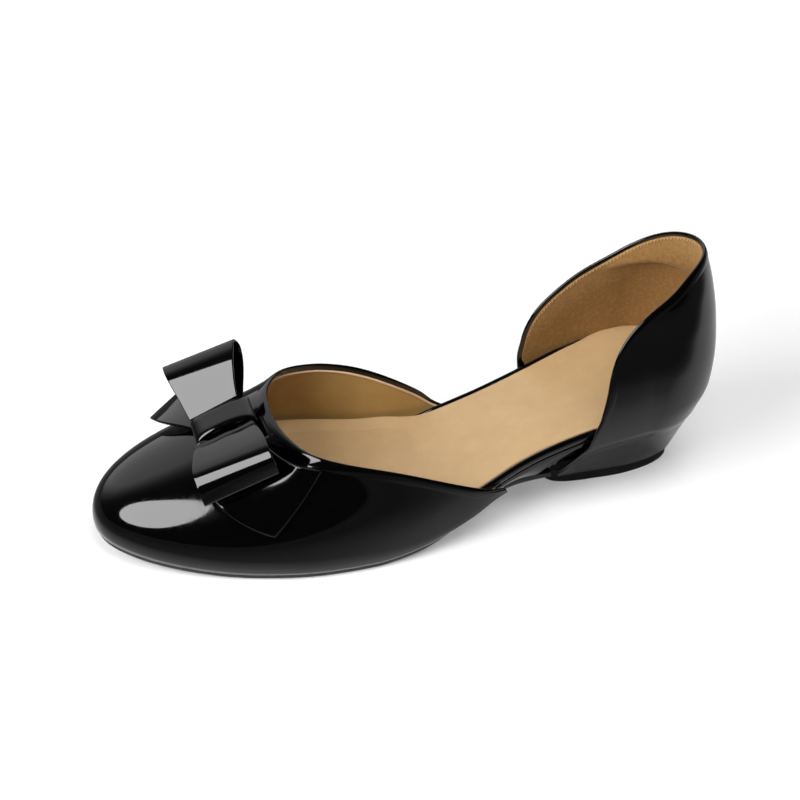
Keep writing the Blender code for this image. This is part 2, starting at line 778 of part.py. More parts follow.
def make_heel_block(count, levels, look):
    """Block between the footbed and the lift, thinning out under the waist."""
    outer, inner = edges(footbed_inset)[:2]
    heights = np.linspace(LIFT_HEIGHT, BLOCK_TOP, CURVE_POINTS)
    backs = cup_row(heights)[0] + block_inset(heights)
    part = np.linspace(0, 1, levels)
    slope = 1.0 + BLOCK_LEAN * (1 - part) ** BLOCK_LEAN_POWER
    at_heel = stations(*BLOCK_HEEL, count - BLOCK_WAIST_RINGS)
    rings = []
    for x in np.concatenate([at_heel, np.linspace(*BLOCK_WAIST, BLOCK_WAIST_RINGS)]):
        top = float(footbed_under(x)) - GAP
        if x < BLOCK_WAIST[0]:
            bottom = max(LIFT_HEIGHT + GAP, float(heights[backs < x - 0.2].min()))
        else:
            bottom = float(tread(x)) + SOLE_THICK + GAP
        z = bottom + (top - bottom) * part
        risen = np.clip(z, *BLOCK_OUTER_RISE) - BLOCK_OUTER_RISE[0]
        outer_start = BLOCK_OUTER_START - BLOCK_OUTER_SLOPE * risen
        inner_start = BLOCK_INNER_START + BLOCK_INNER_SHIFT * blend(z, *BLOCK_INNER_RISE)
        near = block_side(1, x, z)
        far = block_side(-1, x, z)
        near = near + (outer(x) - slope - near) * blend(x, outer_start, outer_start + BLOCK_TURN)
        far = far + (inner(x) + slope - far) * blend(x, inner_start, inner_start + BLOCK_TURN)
        rising = [(x, y, height) for y, height in zip(near, z)]
        falling = [(x, y, height) for y, height in zip(far, z)][::-1]
        rings.append(rising + falling)
    loft("heel_block", rings, look)


def make_heel_lift(count, look):
    """Tread of the heel, with a blunt front."""
    back = CUP[0][1] + LIFT_INSET
    middle = back + CUP_RUN
    points = []
    for angle in np.linspace(0, 2 * math.pi, count, endpoint=False):
        c = math.cos(angle)
        s = math.sin(angle)
        side = 1 if s >= 0 else -1
        if c < 0:
            x = middle + c * CUP_RUN
            share = abs(s)
        else:
            x = middle + (LIFT_FRONT - middle) * c**0.5
            share = abs(s) ** 0.5
        narrow = float(narrowing(side, np.array([x]), 0.0)[0])
        width = CUP[0][2 if side > 0 else 3] - LIFT_INSET - narrow
        points.append((x, side * share * width, 0))
    curve = poly_curve("heel_lift", "2D", points, True)
    curve.fill_mode = "BOTH"
    curve.extrude = LIFT_HEIGHT / 2 * MM
    made = add_object("heel_lift", curve, look)
    made.location.z = LIFT_HEIGHT / 2 * MM


# Bow
def bow_frame():
    pitch = math.radians(BOW_PITCH)
    roll = math.radians(BOW_ROLL)
    along = np.array([math.cos(pitch), 0, -math.sin(pitch)])
    across = np.array([0, math.cos(roll), -math.sin(roll)])
    across = across - along * np.dot(across, along)
    across /= np.linalg.norm(across)
    return along, across, np.cross(along, across)


def make_loop(name, side, count, columns, look):
    along, across, up = bow_frame()
    rows = np.array(LOOP_OUTER if side > 0 else LOOP_INNER)
    run = lengths(rows[:, :2])
    path = spline(run, rows, np.linspace(0, run[-1], count))
    out, high, half, forward, skew, twist = [path[:, k][:, None] for k in range(6)]
    share = np.linspace(-1, 1, columns) * side
    grid = (
        np.array(BOW_CENTRE)
        + (side * (out + skew * share))[..., None] * across
        + (high + twist * share)[..., None] * up
        + (half * share + forward)[..., None] * along
    )
    wall(name, grid, RIBBON_THICK, look)


def make_knot(look):
    """Band round the middle of the bow, as a block with round edges."""
    mesh = bpy.data.meshes.new("bow_knot")
    shape = bmesh.new()
    bmesh.ops.create_cube(shape, size=2.0)
    size = (KNOT_HALF_LENGTH * MM, KNOT_HALF_WIDTH * MM, (KNOT_HIGH - KNOT_LOW) / 2 * MM)
    bmesh.ops.scale(shape, vec=size, verts=shape.verts)
    shape.to_mesh(mesh)
    shape.free()
    made = add_object("bow_knot", mesh, look)
    along, across, up = bow_frame()
    centre = np.array(BOW_CENTRE) + across * KNOT_SHIFT + up * (KNOT_HIGH + KNOT_LOW) / 2
    turn = Matrix((along, across, up)).transposed().to_4x4()
    made.matrix_local = Matrix.Translation(Vector(centre * MM)) @ turn
    bevel = made.modifiers.new("round edges", "BEVEL")
    bevel.width = KNOT_ROUND * MM
    bevel.segments = KNOT_SEGMENTS


def vamp_patch(sections, parts):
    """Points and outward normals of the vamp's face at a grid of places."""
    step = 0.02
    centre = np.array([vamp_surface(row, p[:, None]) for row, p in zip(sections, parts)])[:, :, 0]
    ahead = np.array([vamp_surface(row + step, p[:, None]) for row, p in zip(sections, parts)])[:, :, 0]
    above = np.array([vamp_surface(row, p[:, None] + step) for row, p in zip(sections, parts)])[:, :, 0]
    normal = np.cross(ahead - centre, above - centre)
    normal /= np.linalg.norm(normal, axis=2)[..., None]
    if normal[..., 2].mean() < 0:
        normal = -normal
    return centre, normal


def make_tails(count, columns, look):
    rows = np.array(TAIL)
    at = np.linspace(0, len(rows) - 1, count)
    path = spline(np.arange(len(rows)), rows, at)
    share = np.linspace(0, 1, columns)
    sections, parts, off = [
        path[:, k][:, None] * (1 - share) + path[:, k + 3][:, None] * share for k in range(3)
    ]
    centre, normal = vamp_patch(sections, parts)
    low = centre + normal * off[..., None]
    wall("bow_tails", low + normal * RIBBON_THICK, RIBBON_THICK, look)


def centre_on_origin():
    """Moves the frame so that the origin is under the middle of the shoe, on the floor."""
    bpy.context.view_layer.update()
    graph = bpy.context.evaluated_depsgraph_get()
    corners = []
    for piece in bpy.data.collections["flat_shoe"].objects:
        if piece.type != "EMPTY":
            mesh = piece.evaluated_get(graph).to_mesh()
            corners += [piece.matrix_world @ spot.co for spot in mesh.vertices]
    low, high = [Vector([pick(corner[k] for corner in corners) for k in range(3)]) for pick in (min, max)]
    middle = (low + high) / 2
    bpy.data.objects["shoe_frame"].location = (-middle.x, -middle.y, 0)


def main():
    for old in list(bpy.data.objects):
        bpy.data.objects.remove(old, do_unlink=True)
    parts = bpy.data.collections.new("flat_shoe")
    bpy.context.scene.collection.children.link(parts)
    parts.objects.link(bpy.data.objects.new("shoe_frame", None))
    patent = material("black patent", (0.012, 0.012, 0.013), 0.12, 1.0)
    edge = material("black edge", (0.015, 0.015, 0.016), 0.2, 1.0)
    rubber = material("black rubber", (0.02, 0.02, 0.02), 0.6)
    tan = material("tan leather", (0.62, 0.40, 0.22), 0.5)
    make_outsole(44, rubber)
    make_heel_lift(48, rubber)
    make_heel_block(30, 8, patent)
    make_footbed(42, edge)
    make_sock(46, tan)
    make_vamp(48, 12, patent)
    make_vamp_binding(52, edge)
    make_quarter(42, 11, patent)
    make_quarter_binding(52, edge)
    make_loop("bow_loop_outer", 1, 26, 7, patent)
    make_loop("bow_loop_inner", -1, 26, 7, patent)
    make_knot(patent)
    make_tails(22, 7, patent)
    centre_on_origin()


main()
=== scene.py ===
"""Dresses the flat shoe: patent upper, tan linings, rolled bindings, ribbon bow, sole and studio.

Shapes are worked out in millimetres in the part's modelling frame: X from the heel to the toe,
+Y the outer side, Z = 0 the floor. They are turned to metres in the row frame when a mesh is made.
"""

import math

import bpy
import numpy as np
from mathutils import Matrix, Vector


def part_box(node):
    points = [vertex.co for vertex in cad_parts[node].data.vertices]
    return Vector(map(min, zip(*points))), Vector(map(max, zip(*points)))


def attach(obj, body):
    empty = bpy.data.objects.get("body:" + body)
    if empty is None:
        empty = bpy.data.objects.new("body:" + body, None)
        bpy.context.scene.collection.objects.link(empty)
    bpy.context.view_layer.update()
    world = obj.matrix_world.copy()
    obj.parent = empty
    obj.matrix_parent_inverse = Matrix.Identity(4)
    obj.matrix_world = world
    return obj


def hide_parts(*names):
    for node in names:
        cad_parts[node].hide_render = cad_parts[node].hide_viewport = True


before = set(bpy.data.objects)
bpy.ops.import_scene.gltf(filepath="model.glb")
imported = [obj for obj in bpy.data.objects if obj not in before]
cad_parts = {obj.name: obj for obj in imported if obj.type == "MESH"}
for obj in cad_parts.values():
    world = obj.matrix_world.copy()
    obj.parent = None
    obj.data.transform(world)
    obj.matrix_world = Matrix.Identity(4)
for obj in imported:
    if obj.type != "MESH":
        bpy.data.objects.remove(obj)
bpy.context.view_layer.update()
MM = 0.001


# Walls and gaps
GAP = 0.35
SOLE_THICK = 2.5
SOCK_THICK = 1
VAMP_WALL = 1.8
QUARTER_WALL = 1.9
BINDING_CLEAR = 1.9
BINDING_NEAR = 8
RIBBON_THICK = 1.1
LIFT_HEIGHT = 5.5
LIFT_FRONT = 69.2
LIFT_INSET = 2.3
LIFT_SIDES = 48
LIFT_BLUNT = 0.5

# Points on the curves that the meshes are read from
OUTLINE_POINTS = 1201
PLACE_POINTS = 801
PATH_POINTS = 1201
CURVE_POINTS = 121
CROWDING = 0.85

# Outline of the last bottom: x, outer edge, inner edge
OUTLINE = np.array((
    (8, -1, -1),
    (10.8, 12.2, -14.2),
    (16, 19.4, -21.4),
    (24.5, 25, -27),
    (35, 27.6, -29.2),
    (50, 27.8, -28.6),
    (65, 28.1, -25.6),
    (80, 29.6, -22.9),
    (95, 33.5, -22),
    (110, 39, -24.4),
    (125, 42.6, -28.2),
    (140, 44.5, -33),
    (155, 45.2, -37.2),
    (170, 44.3, -39.4),
    (185, 41.2, -39.6),
    (200, 36.9, -37.2),
    (214, 31.2, -31.8),
    (225, 25, -25),
    (233, 18.6, -17.4),
    (238.6, 11.4, -8.6),
    (240.8, 2, 2),
))

# Side profile: x, tread, underside of the footbed, top of the sock
PROFILE = np.array((
    (5, 5.5, 35.6, 41.4),
    (15, 5.5, 35.3, 41),
    (25, 5.5, 34.4, 40.1),
    (35, 5.5, 33.1, 38.7),
    (45, 5.5, 31.4, 37),
    (55, 5.5, 29.4, 35),
    (65, 12.6, 27, 32.6),
    (75, 13.6, 24.3, 29.9),
    (85, 13.8, 21.4, 27),
    (95, 12.6, 18.2, 23.7),
    (105, 9.3, 14.4, 20.2),
    (115, 5.6, 10.4, 16.9),
    (125, 2.6, 6.6, 14.2),
    (135, 0.8, 3.9, 12.5),
    (143, 0, 2.9, 11.9),
    (165, 0, 2.9, 11.5),
    (187, 0, 2.9, 11.6),
    (196, 0.3, 3.2, 11.7),
    (206, 1, 3.9, 11.9),
    (216, 1.8, 4.7, 12.2),
    (226, 2.8, 5.7, 12.6),
    (240, 4.4, 7.3, 13.2),
))

# Edges of the sole, footbed and sock: insets from the outline, and the x over which they change
SOLE_INSET = 1
SOLE_WAIST_INSET = 3.4
SOLE_WAIST = (88, 128)
OUTSOLE_BACK = 71.2
WAIST_BACK = (44, 56)
WAIST_FRONT = (102, 118)
VAMP_START = (92, 118)
FOOTBED_INSET = 0.3
FOOTBED_VAMP_INSET = 2.2
FOOTBED_TOE_INSET = 0.6
FOOTBED_TOE = (195, 225)
SOCK_INSET = 0.7
SOCK_WAIST_INSET = 1.8
SOCK_WAIST_MORE = 8
SOCK_BEVEL = 0.5
NARROWEST_BEVEL = 6

# Vamp sections, from the outer end round the toe to the inner end: foot on the outline
# (x, side), rim (x, y, z), then how the wall leaves the foot and comes to the rim
VAMP = (
    # foot_x, side, rim_x, rim_y, rim_z, rise, bulge, reach, drop
    (92, 1, 92, 35.4, 20.8, 0.8, 0.1, 0.1, 0.8),
    (99, 1, 98.5, 37.2, 22, 2.5, 0.3, 0.2, 2),
    (107.5, 1, 106.4, 38.2, 24.8, 4, 0.8, 0.5, 3.5),
    (121, 1, 119.7, 38.7, 30.8, 8, 1.6, 1, 6),
    (135, 1, 132.8, 38.6, 36.4, 11, 2.2, 1.6, 9),
    (147, 1, 143.3, 37.6, 39.8, 12.5, 2.6, 2.6, 10.5),
    (160, 1, 154.5, 35, 42.6, 14, 2.9, 4.2, 12),
    (175, 1, 164, 29.5, 44.3, 15, 3.1, 8, 13),
    (195, 1, 169.2, 21, 44.8, 16, 3.2, 15, 13.5),
    (219, 1, 172.9, 10.8, 45.8, 18.5, 3, 28, 15.5),
    (240.8, 0, 174.2, 0, 46.9, 20.5, 2.8, 39, 17.5),
    (219, -1, 173, -10.8, 46.9, 18.5, 3, 28, 15.5),
    (197, -1, 169, -19.5, 46, 16, 3.2, 15, 13.5),
    (178, -1, 162.7, -25.7, 44.7, 15, 3.1, 7, 13),
    (161, -1, 153.1, -29.4, 42.4, 14, 2.8, 4, 12),
    (149.5, -1, 145.1, -30.2, 40.7, 12.5, 2.4, 2.6, 11),
    (139.5, -1, 137.3, -29, 39.2, 11.5, 2, 1.8, 10),
    (131, -1, 129.5, -26.7, 37.2, 10.5, 1.7, 1.3, 9),
    (122, -1, 120.9, -24.6, 33.3, 8, 1.4, 0.9, 7),
    (112, -1, 110.9, -24.2, 26.4, 5, 0.9, 0.5, 4.5),
    (106, -1, 105.5, -24.2, 21.6, 2.8, 0.4, 0.3, 2.6),
    (100, -1, 100, -23.4, 18.8, 1, 0.2, 0.1, 1),
)
VAMP_ENDS_OUT = 2.3
VAMP_ENDS_UP = 2.4
SHOULDER_TURN = 6
RIM_WEIGHT = 1.2
VAMP_SPREAD = 0.9

# Heel cup by height: z, back, outer half width, inner half width
CUP = np.array((
    (5.8, 15.4, 14.4, 17.8),
    (12, 13.5, 18.2, 20.8),
    (20, 11, 22.4, 24.8),
    (27, 8.8, 26, 28.3),
    (33, 7, 29.6, 31.3),
    (42, 3.5, 30.6, 31.9),
    (55, 2.3, 29.8, 31),
    (68, 2.9, 27.6, 28.8),
    (80, 4.6, 24.6, 25.4),
    (90, 7, 21.2, 21.6),
    (99, 9.6, 17.6, 17.8),
))
CUP_RUN = 27
CUP_FRONT = 40
CUP_MIDDLE = -1
CUP_MIDDLE_END = 0.8
SEAT_X = 35
NARROW_END_X = 100
NARROW_FLOOR = 0.5
NARROW_RISE = (6, 26)
SEAT_RISE = (6, 24)

# Heel block: clearance inside the quarter as parts of wall and gap, its ends at the heel and under
# the waist, how its sides lean, and where they leave the cup for the footbed's edge
BLOCK_CLEAR_LOW = 1.6
BLOCK_CLEAR_HIGH = 1.4
BLOCK_CLEAR_RISE = (20, 36)
BLOCK_HEEL = (10.8, 69.4)
BLOCK_WAIST_END = 112
BLOCK_TOP = 40
BLOCK_LEAN = 3
BLOCK_LEAN_POWER = 1.5
BLOCK_TURN = 12
BLOCK_OUTER_START = 69.5
BLOCK_OUTER_SLOPE = 0.41
BLOCK_OUTER_RISE = (8, 31)
BLOCK_INNER_START = 70.5
BLOCK_INNER_SHIFT = 2.5
BLOCK_INNER_RISE = (10, 24)
BLOCK_MIDDLE_END = 0.95

# Quarter sections, from the outer front edge round the back to the inner front edge
QUARTER = (
    # side, top_x, top_z, foot_x
    (1, 65.4, 8.6, 65.6),
    (1, 63.4, 14.5, 62.4),
    (1, 60.4, 22.5, 58.4),
    (1, 57, 31, 54.4),
    (1, 54.2, 39.5, 50.4),
    (1, 52, 49, 46.4),
    (1, 50.3, 59, 42.4),
    (1, 46.8, 69, 38),
    (1, 41, 76.5, 33),
    (1, 33, 82.5, 28),
    (1, 24, 87.6, 23.4),
    (1, 15, 91.6, 19.4),
    (0, 8.6, 92.2, 15.4),
    (-1, 14, 89.2, 19.4),
    (-1, 24, 82.4, 23.4),
    (-1, 34, 75.4, 28),
    (-1, 45, 69, 34),
    (-1, 54.5, 62.4, 40),
    (-1, 61.6, 56.2, 45.6),
    (-1, 66.2, 49, 50.4),
    (-1, 68.6, 40, 54.6),
    (-1, 69.4, 31, 58.2),
    (-1, 69, 22.5, 61.4),
    (-1, 67.8, 14.5, 64),
    (-1, 66.2, 8.6, 66),
)

# Bow: centre, slope along the instep, slope across, then the folds of the two loops
BOW_CENTRE = (190.5, 0.5, 45.4)
BOW_PITCH = 20
BOW_ROLL = 6
LOOP_OUTER = np.array((
    # out, up, half_width, forward, skew, twist
    (9.9, -0.3, 10.6, 0.7, 0, 0),
    (14, -0.8, 11.8, 1, 0, 0),
    (21, -1.5, 13.2, 1.4, -0.1, -0.1),
    (28, -2.4, 14.2, 1.8, -0.3, -0.2),
    (33, -2.9, 14.5, 1.9, -0.4, -0.3),
    (35.8, -2.3, 14.6, 1.9, -0.5, -0.3),
    (36.7, -1, 14.6, 1.9, -0.7, -0.4),
    (36.6, 0.9, 14.6, 1.8, -1.1, -0.5),
    (35.9, 3.6, 14.6, 1.5, -1.6, -0.6),
    (34.7, 5.5, 14.6, 1.4, -1.8, -0.7),
    (33.1, 6.8, 14.5, 1.3, -1.8, -0.7),
    (31.2, 7.65, 14.5, 1.3, -1.7, -0.7),
    (28.5, 8.05, 14.4, 1.2, -1.5, -0.7),
    (24.5, 7.6, 14, 1, -1, -0.6),
    (20, 6.6, 13.2, 0.9, -0.5, -0.4),
    (15.5, 5.4, 12.2, 0.8, -0.1, -0.2),
    (12.4, 4.4, 11.4, 0.7, 0, -0.1),
    (9.9, 3.3, 10.6, 0.7, 0, 0),
))
LOOP_INNER = np.array((
    (4.4, -1.2, 10, 0.8, 0.2, -0.6),
    (12, 0.3, 11.2, -0.5, 0.4, -0.6),
    (19, 2.8, 12.8, -1.6, 1, -0.8),
    (24, 5.2, 14, -1.8, 1.4, -1.1),
    (26.8, 7.2, 14.5, -1.4, 1.8, -1.3),
    (27.5, 9, 14.5, -0.9, 2.2, -1.4),
    (26.6, 10.7, 14.4, -0.5, 2.5, -1.4),
    (24.6, 11.8, 14.2, -0.3, 2.6, -1.4),
    (22, 12, 13.9, 0, 2.6, -1.3),
    (19, 11.5, 13.3, 0.4, 2.5, -1.2),
    (16, 10.3, 12.6, 0.8, 2.4, -1.2),
    (13, 8.5, 11.8, 1.1, 2.1, -1.2),
    (10, 6.4, 11, 1.4, 1.7, -1.1),
    (7, 4.3, 10.4, 1.6, 1, -1.1),
    (4.4, 2.6, 9.9, 1.7, 0.3, -1),
))
KNOT_SHIFT = 3
KNOT_HALF_WIDTH = 6.2
KNOT_HALF_LENGTH = 11.8
KNOT_LOW = -1.55
KNOT_HIGH = 5.4

# Tail strip on the vamp, from the outer end to the inner end: place of its heel edge
# and its toe edge as (section, part of the way up), and how far it stands off
TAIL = np.array((
    # heel_section, heel_part, heel_off, toe_section, toe_part, toe_off
    (6.5, 0.98, 0.8, 7.4, 0.36, 0.8),
    (8.3, 0.92, 3.4, 8.9, 0.5, 2.8),
    (10, 0.91, 1.1, 10, 0.7, 1.1),
    (11.2, 0.72, 4.2, 10.6, 0.5, 2.6),
    (11.9, 0.48, 13.6, 11, 0.31, 5.2),
))


def spline(knots, values, at):
    """Smooth curve through the rows of values."""
    values = values.reshape(len(knots), -1)
    at = np.clip(np.atleast_1d(np.asarray(at, float)), knots[0], knots[-1])
    count = len(knots)
    step = np.diff(knots)
    slope = np.diff(values, axis=0) / step[:, None]
    system = np.eye(count)
    right = np.zeros_like(values)
    for i in range(1, count - 1):
        system[i, i - 1] = step[i - 1]
        system[i, i] = 2 * (step[i - 1] + step[i])
        system[i, i + 1] = step[i]
        right[i] = 6 * (slope[i] - slope[i - 1])
    bend = np.linalg.solve(system, right)
    i = np.clip(np.searchsorted(knots, at, side="right") - 1, 0, count - 2)
    h = step[i][:, None]
    t = (at - knots[i])[:, None]
    first = slope[i] - h * (2 * bend[i] + bend[i + 1]) / 6
    third = (bend[i + 1] - bend[i]) / (6 * h)
    return values[i] + t * (first + t * (bend[i] / 2 + t * third))


def even(knots, values, at):
    """Curve through a table that never overshoots it, and is flat where the table is flat."""
    at = np.clip(np.asarray(at, float), knots[0], knots[-1])
    step = np.diff(knots)
    rise = np.diff(values) / step
    slope = np.concatenate([rise[:1], np.zeros(len(knots) - 2), rise[-1:]])
    for i in range(1, len(knots) - 1):
        if rise[i - 1] * rise[i] > 0:
            slope[i] = 2 * rise[i - 1] * rise[i] / (rise[i - 1] + rise[i])
    i = np.clip(np.searchsorted(knots, at, side="right") - 1, 0, len(knots) - 2)
    h = step[i]
    t = (at - knots[i]) / h
    low = values[i] * (1 + 2 * t) * (1 - t) ** 2 + slope[i] * h * t * (1 - t) ** 2
    high = values[i + 1] * t * t * (3 - 2 * t) + slope[i + 1] * h * t * t * (t - 1)
    return low + high


def blend(x, low, high):
    t = np.clip((np.asarray(x, float) - low) / (high - low), 0, 1)
    return t * t * (3 - 2 * t)


def lengths(points):
    return np.concatenate([[0], np.cumsum(np.linalg.norm(np.diff(points, axis=0), axis=1))])


def circle(count):
    return np.linspace(0, 2 * math.pi, count, endpoint=False)


def unit(rows):
    return rows / np.maximum(np.linalg.norm(rows, axis=-1), 1e-9)[..., None]


def read(at, run, rows):
    """Rows read off a line at places along its run."""
    return np.stack([np.interp(at, run, rows[:, k]) for k in range(rows.shape[1])], -1)


# Last bottom
def outline_loop():
    """Dense outline from the heel along the outer side to the toe, then back along the inner side."""
    points = np.vstack([OUTLINE[:, :2], OUTLINE[-2::-1, ::2]])
    run = lengths(points)
    return spline(run, points, np.linspace(0, run[-1], OUTLINE_POINTS))


LOOP_POINTS = outline_loop()
LOOP_RUN = lengths(LOOP_POINTS)
LOOP_ALONG = np.gradient(LOOP_POINTS, axis=0)
LOOP_OUT = unit(np.stack([-LOOP_ALONG[:, 1], LOOP_ALONG[:, 0]], 1))
TOE_INDEX = int(LOOP_POINTS[:, 0].argmax())


def profile(column, x):
    return even(PROFILE[:, 0], PROFILE[:, column], x)


def tread(x):
    return profile(1, x)


def footbed_under(x):
    return profile(2, x)


def sock_top(x):
    return profile(3, x)


def edge_of(points):
    points = points[points[:, 0].argmin() :]
    return lambda x: np.interp(x, points[:, 0], points[:, 1])


def edges(inset):
    """Outline moved inwards by inset(x): functions for its outer and inner edge, and its ends."""
    moved = LOOP_POINTS - LOOP_OUT * inset(LOOP_POINTS[:, 0])[:, None]
    toe = int(moved[:, 0].argmax())
    outer = moved[: toe + 1]
    inner = moved[toe:][::-1]
    low = max(outer[:, 0].min(), inner[:, 0].min())
    return edge_of(outer), edge_of(inner), low, moved[toe, 0]


def stations(low, high, count, ends=0.04):
    """Places along the foot, closer together at the round ends."""
    t = np.linspace(0, 1, count)
    t = t - CROWDING * np.sin(2 * math.pi * t) / (2 * math.pi)
    return low + ends + (high - low - 2 * ends) * t


# Sole, footbed and sock
def sole_inset(x):
    return SOLE_INSET + SOLE_WAIST_INSET * (1 - blend(x, *SOLE_WAIST))


def waist(x, more=0.0):
    """1 where the footbed's edge shows between the quarter and the vamp, 0 elsewhere."""
    return blend(x + more, *WAIST_BACK) * (1 - blend(x - more, *WAIST_FRONT))


def footbed_inset(x):
    under_vamp = FOOTBED_VAMP_INSET * blend(x, *VAMP_START)
    return FOOTBED_INSET + under_vamp + FOOTBED_TOE_INSET * blend(x, *FOOTBED_TOE)


def sock_inset(x):
    return footbed_inset(x) + SOCK_INSET + SOCK_WAIST_INSET * waist(x, SOCK_WAIST_MORE)


# Footbed edge from its top to its underside: inset, depth as a part of the thickness, and
# how far the wrapped bead rises at the waist
EDGE_POINTS = 34
FOOTBED_EDGE = np.array((
    (2.1, 0, 0),
    (1.9, 0, 0.95),
    (1.1, 0, 1.45),
    (0.25, 0.10, 0.95),
    (0, 0.28, 0.4),
    (0.4, 0.46, 0),
    (0.9, 0.52, 0),
    (0.55, 0.62, 0),
    (0.6, 1, 0),
))


# Vamp
def vamp_rows():
    """The table with each foot as a run along the outline."""
    rows = []
    for foot_x, side, rim_x, rim_y, rim_z, rise, bulge, reach, drop in VAMP:
        if side == 0:
            index = TOE_INDEX
        elif side > 0:
            index = int(np.abs(LOOP_POINTS[:TOE_INDEX, 0] - foot_x).argmin())
        else:
            index = TOE_INDEX + int(np.abs(LOOP_POINTS[TOE_INDEX:, 0] - foot_x).argmin())
        rows.append((LOOP_RUN[index], rim_x, rim_y, rim_z, rise, bulge, reach, drop))
    return np.array(rows)


def vamp_curves(places):
    """Control points of the sections at places, counted in rows of the table."""
    rows = vamp_rows()
    number = np.arange(len(rows))
    run = even(number, rows[:, 0], places)
    rest = spline(number, rows[:, 1:], places)
    foot_xy = read(run, LOOP_RUN, LOOP_POINTS)
    out = unit(read(run, LOOP_RUN, LOOP_OUT))
    ends = 1 - blend(foot_xy[:, 0], *VAMP_START)
    foot_xy = foot_xy + out * (VAMP_ENDS_OUT * ends)[:, None]
    foot_z = tread(foot_xy[:, 0]) + SOLE_THICK + GAP + VAMP_ENDS_UP * ends**3
    foot = np.column_stack([foot_xy, foot_z])
    rim = rest[:, :3]
    rise, bulge, reach, drop = rest[:, 3:].T
    handle = foot + np.column_stack([out * bulge[:, None], rise])
    mix = np.clip(reach / SHOULDER_TURN, 0, 1)[:, None]
    away = unit(unit(foot[:, :2] - rim[:, :2]) * mix + out * (1 - mix))
    shoulder = rim + np.column_stack([away * reach[:, None], -drop])
    return np.stack([foot, handle, shoulder, rim], 1)


def vamp_surface(places, parts, short=BINDING_CLEAR):
    """Points of the outer face: parts runs from the foot (0) to the rim (1)."""
    control = vamp_curves(places)
    rim = vamp_curves(np.linspace(0, len(VAMP) - 1, PATH_POINTS))[:, 3]
    fine = np.linspace(0, 1, CURVE_POINTS)
    rest = 1 - fine
    weights = np.stack([rest**3, 3 * fine * rest**2, 3 * fine**2 * rest, fine**3], 1)
    parts = np.broadcast_to(parts, (len(places), np.shape(parts)[-1]))
    rows = []
    for points, wanted in zip(control, parts):
        curve = weights @ points
        rows.append(up_to_binding(curve, rim, wanted, short))
    return np.array(rows)


def up_to_binding(curve, path, parts, short):
    """Points along a curve, which stops a little short of the binding that runs along path."""
    run = lengths(curve)
    nearby = path[np.linalg.norm(path - curve[-1], axis=1) < BINDING_NEAR]
    away = np.linalg.norm(curve[:, None] - nearby, axis=2).min(axis=1)
    last = int(np.nonzero(away > short)[0].max())
    share = (away[last] - short) / (away[last] - away[last + 1])
    full = run[last] + share * (run[last + 1] - run[last])
    return read(parts * full, run, curve)


def vamp_places(count):
    """Section places spaced evenly along foot and rim together."""
    fine = np.linspace(0, len(VAMP) - 1, PLACE_POINTS)
    control = vamp_curves(fine)
    run = lengths(control[:, 0]) + RIM_WEIGHT * lengths(control[:, 3])
    return np.interp(np.linspace(0, run[-1], count), run, fine)


# Heel
def cup_row(z):
    return [even(CUP[:, 0], CUP[:, k], z) for k in (1, 2, 3)]


def narrowing(side, x, z):
    """How much the last narrows ahead of the heel seat, less so near the floor."""
    x = np.clip(x, SEAT_X, NARROW_END_X)
    width = np.abs(OUTLINE[:, 1 if side > 0 else 2])
    edge = spline(OUTLINE[:, 0], width, np.append(x.ravel(), SEAT_X))[:, 0]
    share = NARROW_FLOOR + (1 - NARROW_FLOOR) * blend(z, *NARROW_RISE)
    return (edge[-1] - edge[:-1]).reshape(x.shape) * share


def seat_height(x, z):
    """Height on the cup's table: the seat slopes down ahead of the heel, and the cup follows it."""
    drop = sock_top(SEAT_X) - sock_top(np.maximum(x, SEAT_X))
    return z + drop * blend(z, *SEAT_RISE)


def cup_place(x, z):
    """Place round the cup of a point given by its x: 0 at the back, 1 where the sides begin."""
    back = cup_row(z)[0]
    share = np.clip(1 - (x - back) / CUP_RUN, 0, 1)
    round_part = np.arccos(share) / (math.pi / 2)
    return np.where(x > back + CUP_RUN, 1 + (x - back - CUP_RUN) / CUP_FRONT, round_part)


def cup_point(place, z):
    """Point of the cup's outer face. Positive places are the outer side."""
    place = np.asarray(place, float)
    z = np.asarray(z, float) + 0 * place
    side = np.where(place >= 0, 1.0, -1.0)
    turn = np.minimum(np.abs(place), 1) * math.pi / 2
    ahead = np.maximum(np.abs(place) - 1, 0) * CUP_FRONT
    x = cup_row(z)[0] + CUP_RUN * (1 - np.cos(turn)) + ahead
    outer, inner = cup_row(seat_height(x, z))[1:]
    width = np.where(side > 0, outer - narrowing(1, x, z), inner - narrowing(-1, x, z))
    middle = CUP_MIDDLE * (1 - blend(np.abs(place), 0.0, CUP_MIDDLE_END))
    return np.stack([x, middle + side * width * np.sin(turn), z], -1)


def quarter_rows():
    rows = []
    for side, top_x, top_z, foot_x in QUARTER:
        turn = 1.0 if side >= 0 else -1.0
        top = turn * float(cup_place(top_x, top_z)) if side else 0.0
        foot = turn * float(cup_place(foot_x, CUP[0][0])) if side else 0.0
        rows.append((top, top_z, foot))
    return np.array(rows)


def quarter_top(places):
    rows = quarter_rows()
    return spline(np.arange(len(rows)), rows, places)


def quarter_surface(places, parts, short):
    low = LIFT_HEIGHT + GAP
    edge = quarter_path()
    fine = np.linspace(0, 1, CURVE_POINTS)
    rows = []
    for top, top_z, foot in quarter_top(places):
        curve = cup_point(foot + (top - foot) * fine, low + (top_z - low) * fine)
        rows.append(up_to_binding(curve, edge, parts, short))
    return np.array(rows)


def quarter_path():
    """Evenly spaced points along the quarter's edge."""
    top = quarter_top(np.linspace(0, len(QUARTER) - 1, PATH_POINTS))
    points = cup_point(top[:, 0], top[:, 1])
    run = lengths(points)
    return read(np.linspace(0, run[-1], PATH_POINTS), run, points)


